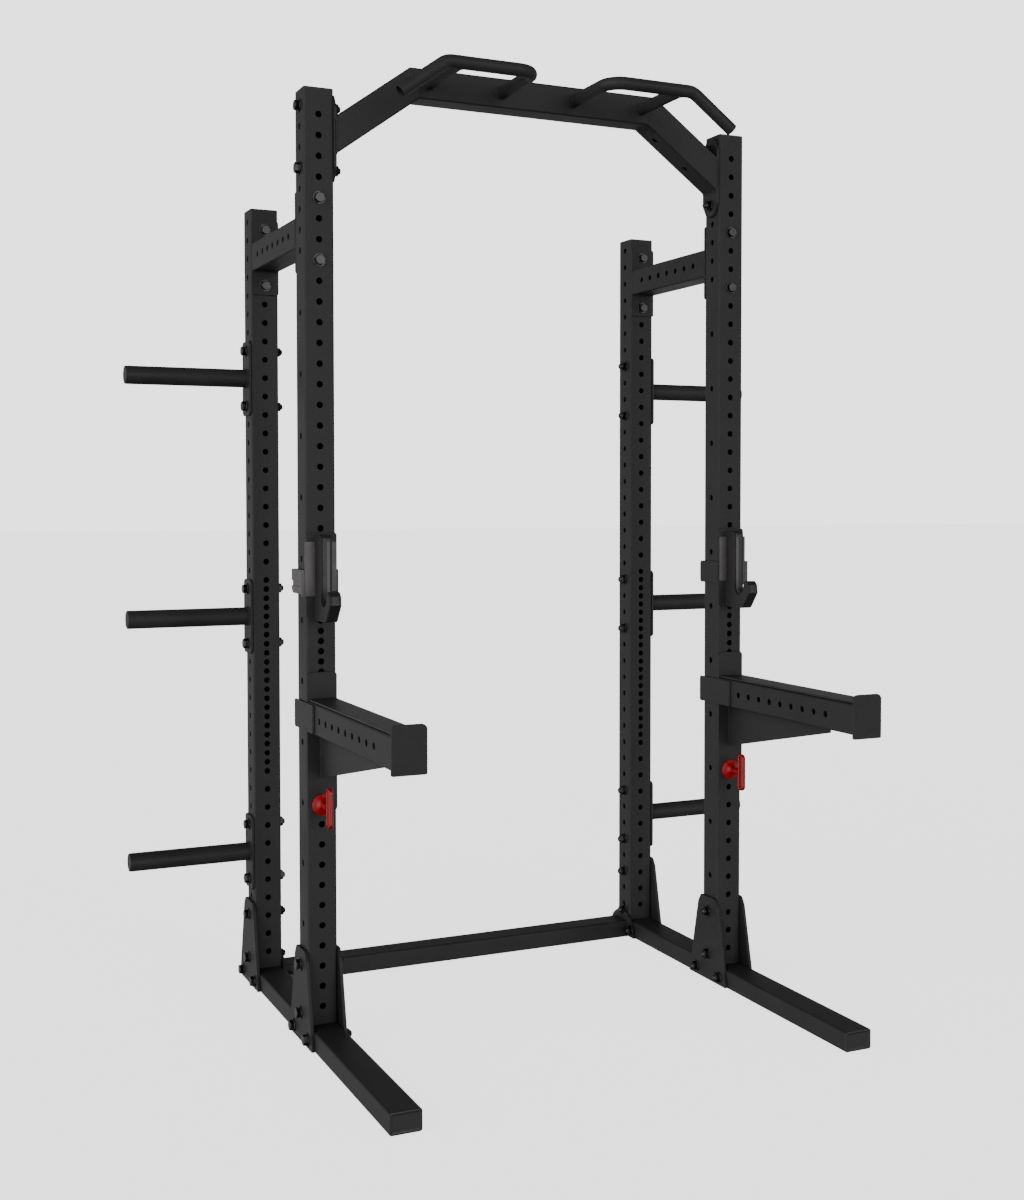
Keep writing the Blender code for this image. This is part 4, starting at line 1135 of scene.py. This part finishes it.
def make_cup_liner(side, sign):
    """Plastic core of the hook, with a paler wear strip let into it."""
    x = sign * UPRIGHT_X
    core = HOOK_HALF - HOOK_SKIN - PLAY
    bm = bmesh.new()
    add_plate(bm, hook_outline(2 * PLAY + FACE_PLATE, CORE_PROUD), "x", x - core, x + core, PLATE_EDGE)
    make_piece("j_cup_liner_%s_core" % side, bm, "core", "j_cup_" + side, "j_cup_liner_" + side)
    bm = bmesh.new()
    add_plate(bm, inlay_outline(), "x", x - sign * INLAY[0], x - sign * INLAY[1], HOOK_EDGE)
    make_piece("j_cup_liner_%s_inlay" % side, bm, "liner", "j_cup_" + side)


def make_cup_guard(side, sign):
    """Plastic sheet on the plate and the grooved block on the outer cheek."""
    node = "j_cup_guard_" + side
    low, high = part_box(node)
    outer = high.x if sign > 0 else low.x
    x = sign * UPRIGHT_X
    back = FACE_Y - 2 * PLAY - FACE_PLATE
    front = back - GUARD_THICK
    near = x + sign * (HALF + 2 * PLAY + CHEEK)
    inner = x + sign * (HOOK_HALF + 2 * PLAY)
    bm = bmesh.new()
    corners = rectangle(*sorted((inner, near)), *GUARD_Z)
    add_plate(bm, round_corners(corners, 0.002, 3), "y", front, back, SHEET_EDGE)
    rear = FRONT_Y + WING_REAR
    z_low, z_high = CUP_CHEEK_Z
    clip = 0.010
    base = [(front, GUARD_Z[0]), (back, GUARD_Z[0]), (back + 0.002, z_low), (rear - clip, z_low)]
    base += [(rear, z_low + clip), (rear, z_high), (front, z_high)]
    groove_low, groove_high = WING_GROOVE
    groove_front = front + 0.006
    raised = base[:5] + [(rear, groove_low), (groove_front, groove_low), (groove_front, groove_high)]
    raised += [(rear, groove_high), (rear, z_high), (front, z_high)]
    floor = outer - sign * WING_GROOVE_DEPTH
    add_plate(bm, [tuple(point) for point in inset(base, PLAY)], "x", near, floor)
    root = near + sign * PLAY
    add_plate(bm, raised, "x", root, outer, SHEET_EDGE)
    make_piece(node + "_block", bm, "liner", "j_cup_" + side, node)


def make_cup_pad(side):
    """Plastic sheet on the inner half of the plate."""
    node = "j_cup_pad_" + side
    low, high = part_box(node)
    bm = bmesh.new()
    corners = rectangle(low.x, high.x, low.z, high.z)
    add_plate(bm, round_corners(corners, 0.003, 3), "y", low.y, high.y, SHEET_EDGE)
    make_piece(node + "_sheet", bm, "liner", "j_cup_" + side, node)


def make_j_cups():
    for side, sign in SIDES:
        make_cup_body(side, sign)
        make_cup_liner(side, sign)
        make_cup_guard(side, sign)
        make_cup_pad(side)


# ---- safety arms ----
def make_arm(side, sign):
    """Welded steel arm."""
    node = "safety_arm_" + side
    low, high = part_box(node)
    x = sign * UPRIGHT_X
    tip = low.y
    back = FACE_Y - PLAY
    front = back - FACE_PLATE
    half = HALF + PLAY
    bm = bmesh.new()
    corners = rectangle(x - half, x + half, low.z, high.z)
    add_plate(bm, round_corners(corners, 0.009, 5), "y", front, back, FACE_EDGE, hole=(x, LOCK_Z))
    spots = [FRONT_Y - ARM_HOLE_FIRST - 2 * GRID * i for i in range(ARM_HOLES)]
    ends = (tip + STOP_PLATE / 2, front + FACE_PLATE / 2)
    add_drilled_tube(bm, "y", (x, ARM_Z), 2 * half, ARM_TUBE_HEIGHT, ends[0], ends[1], {0: spots, 2: spots})
    tube_low = ARM_Z - ARM_TUBE_HEIGHT / 2
    tube_high = ARM_Z + ARM_TUBE_HEIGHT / 2
    for _, side_sign in SIDES:
        add_cheek(bm, x, side_sign, FRONT_Y - ARM_CHEEK_FRONT, tube_low + 0.003, tube_high - 0.003, 0.006)
        edge_x = x + side_sign * (half + CHEEK * 0.35)
        edge = [Vector((edge_x, FRONT_Y - ARM_CHEEK_FRONT, z)) for z in (tube_low + 0.006, tube_high - 0.006)]
        add_bead(bm, edge, closed=False, radius=CHEEK_BEAD)
    stop = rectangle(x - STOP_WIDTH / 2, x + STOP_WIDTH / 2, *STOP_Z)
    stop = round_corners(stop, (0.004, 0.004, 0.012, 0.012), 5)
    add_plate(bm, stop, "y", tip, tip + STOP_PLATE, FACE_EDGE)
    web = [(front + 0.001, tube_low + 0.001), (FRONT_Y - WEB_TIP, tube_low + 0.001)]
    web += [(FRONT_Y - WEB_TIP, tube_low - 0.016), (front + 0.001, WEB_LOW)]
    add_plate(bm, web, "x", x - WEB_THICK / 2, x + WEB_THICK / 2, SHEET_EDGE)
    for _, side_sign in SIDES:
        foot_x = x + side_sign * WEB_THICK / 2
        under = [Vector((foot_x, y, tube_low)) for y in (front - 0.002, FRONT_Y - WEB_TIP + 0.004)]
        down = [Vector((foot_x, front, z)) for z in (tube_low - 0.002, WEB_LOW + 0.004)]
        for bead in (under, down):
            add_bead(bm, bead, closed=False, radius=THIN_BEAD)
    for narrower, along in ((0.002, front), (0.001, tip + STOP_PLATE)):
        add_bead(bm, tube_outline_path("y", (x, ARM_Z), 2 * half - narrower, ARM_TUBE_HEIGHT - 0.001, along))
    add_peg(bm, x, ARM_PEG_Z)
    make_piece(node + "_steel", bm, "powder_coat", "safety_arm_" + side, node)


def make_arm_liner(side):
    """Plastic strip on the arm's top, turned up behind the stop plate."""
    node = "safety_arm_liner_" + side
    low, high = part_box(node)
    bm = bmesh.new()
    thick = 0.005
    corners = [(high.y, low.z), (high.y, low.z + thick), (low.y + 0.006, low.z + thick)]
    corners += [(low.y + 0.006, high.z), (low.y, high.z), (low.y, low.z)]
    outline = round_corners(corners, (0.0006, 0.002, 0.004, 0.002, 0.002, 0.0006))
    add_plate(bm, outline, "x", low.x, high.x, STRIP_EDGE)
    make_piece(node + "_strip", bm, "strip", "safety_arm_" + side, node)


# ---- lock pins ----
def make_handle(side, sign):
    """Moulded disc, neck and pull loop."""
    node = "lock_pin_handle_" + side
    low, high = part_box(node)
    x = sign * UPRIGHT_X
    back = high.y
    loop_y = low.y + LOOP_DEPTH / 2
    bm = bmesh.new()
    profile = [(back, HANDLE_DISC - 0.0008), (back - 0.0008, HANDLE_DISC)]
    profile += [(back - 0.0032, HANDLE_DISC), (back - 0.0042, HANDLE_DISC - 0.0010)]
    for step in range(9):
        share = step / 8
        radius = HANDLE_NECK + (HANDLE_DISC - 0.0115 - HANDLE_NECK) * (1 - share) ** 2.2
        profile.append((back - 0.0048 - 0.0200 * share, radius + (0.008 * (1 - share) ** 6)))
    profile += [(loop_y + LOOP_DEPTH / 2 - 0.003, 0.0088)]
    add_turned(bm, "y", (x, LOCK_Z), profile, 40)
    height = high.z - low.z
    bar = LOOP_BAR
    depth = LOOP_DEPTH - bar
    middle_line = rounded_rectangle((loop_y, LOCK_Z), depth, height - bar, depth / 2, 12)
    path = [place("x", point, x) for point in middle_line]
    section = rounded_rectangle((0, 0), LOOP_THICK, bar, bar * 0.42, 4)
    rings = []
    count = len(path)
    for index, point in enumerate(path):
        tangent = (path[(index + 1) % count] - path[index - 1]).normalized()
        out = Vector((1, 0, 0)).cross(tangent)
        rings.append([point + Vector((u, 0, 0)) + out * v for u, v in section])
    add_rings(bm, rings, closed=True)
    make_piece(node + "_moulding", bm, "red", "lock_pin_" + side, node)


def make_lock_pin(side, sign):
    """Turned pin with a groove and a chamfered tip."""
    node = "lock_pin_" + side
    low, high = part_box(node)
    x = sign * UPRIGHT_X
    profile = [(low.y, PIN_RADIUS)]
    profile += [(high.y - back, PIN_RADIUS - thinner) for back, thinner in LOCK_PIN_END]
    bm = bmesh.new()
    add_turned(bm, "y", (x, LOCK_Z), profile, 36)
    make_piece(node + "_shank", bm, "pin", "lock_pin_" + side, node)


def make_safety_arms():
    for side, sign in SIDES:
        make_arm(side, sign)
        make_arm_liner(side)
        make_handle(side, sign)
        make_lock_pin(side, sign)


# ---- floor, light and camera ----
def make_floor():
    """Plain pale floor, bright as a studio sweep; it throws no light back on the object."""
    material, tree, shader, coords = start_material("floor")
    tone = blend_colours(tree, noise(tree, coords, 1.5, 3.0), (0.80, 0.80, 0.80), (0.84, 0.84, 0.84))
    tree.links.new(tone, shader.inputs["Base Color"])
    shader.inputs["Roughness"].default_value = 0.9
    shader.inputs["Emission Color"].default_value = (1.0, 1.0, 1.0, 1.0)
    shader.inputs["Emission Strength"].default_value = BACKGROUND - 0.5
    mesh = bpy.data.meshes.new("floor")
    reach = FLOOR_REACH
    corners = [(-reach, -reach, 0), (reach, -reach, 0), (reach, reach, 0), (-reach, reach, 0)]
    mesh.from_pydata(corners, [], [(0, 1, 2, 3)])
    mesh.materials.append(material)
    floor = bpy.data.objects.new("floor", mesh)
    floor.visible_diffuse = False
    floor.visible_glossy = False
    bpy.context.scene.collection.objects.link(floor)


def add_light(name, direction, spread_degrees, strength):
    """Very large and distant soft box that shines along a direction."""
    data = bpy.data.lights.new(name, "SUN")
    data.angle = math.radians(spread_degrees)
    data.energy = strength
    light = bpy.data.objects.new(name, data)
    bpy.context.scene.collection.objects.link(light)
    light.rotation_euler = Vector(direction).to_track_quat("-Z", "Y").to_euler()


def make_studio():
    """White studio: a bright background, light from all round the horizon and two large soft boxes."""
    world = bpy.data.worlds.new("studio")
    world.use_nodes = True
    tree = world.node_tree
    background = tree.nodes["Background"]
    coords = tree.nodes.new("ShaderNodeTexCoord")
    height = add_node(tree, "ShaderNodeSeparateXYZ", {"Vector": coords.outputs["Generated"]}).outputs["Z"]
    above = spread(tree, height, 0.0, 0.45, AMBIENT_LEVEL, AMBIENT_TOP)
    below = spread(tree, height, -0.7, -0.2, AMBIENT_UNDER, AMBIENT_LEVEL)
    ambient = calculate(tree, "MINIMUM", above, below)
    seen = tree.nodes.new("ShaderNodeLightPath").outputs["Is Camera Ray"]
    strength = calculate(tree, "MAXIMUM", ambient, calculate(tree, "MULTIPLY", seen, BACKGROUND))
    tree.links.new(strength, background.inputs["Strength"])
    background.inputs["Color"].default_value = (1.0, 1.0, 1.0, 1.0)
    bpy.context.scene.world = world
    add_light("key", (1.0, 0.30, -0.14), 80, KEY)
    add_light("fill", (-0.25, 1.0, -0.12), 35, FILL)


def make_camera():
    """View from the front left, at chest height."""
    data = bpy.data.cameras.new("camera")
    data.lens = 46.56
    data.sensor_width = 36.0
    data.shift_x = -0.0300
    data.shift_y = -0.0415
    camera = bpy.data.objects.new("camera", data)
    camera.location = (-1.6866, FRONT_Y - 3.6933, 1.3439)
    camera.rotation_euler = (1.5372, 0.0, -0.4388)
    bpy.context.scene.collection.objects.link(camera)
    bpy.context.scene.camera = camera


make_uprights()
make_base()
make_side_members()
make_pull_up_bar()
make_storage_pegs()
make_j_cups()
make_safety_arms()
make_floor()
make_studio()
make_camera()
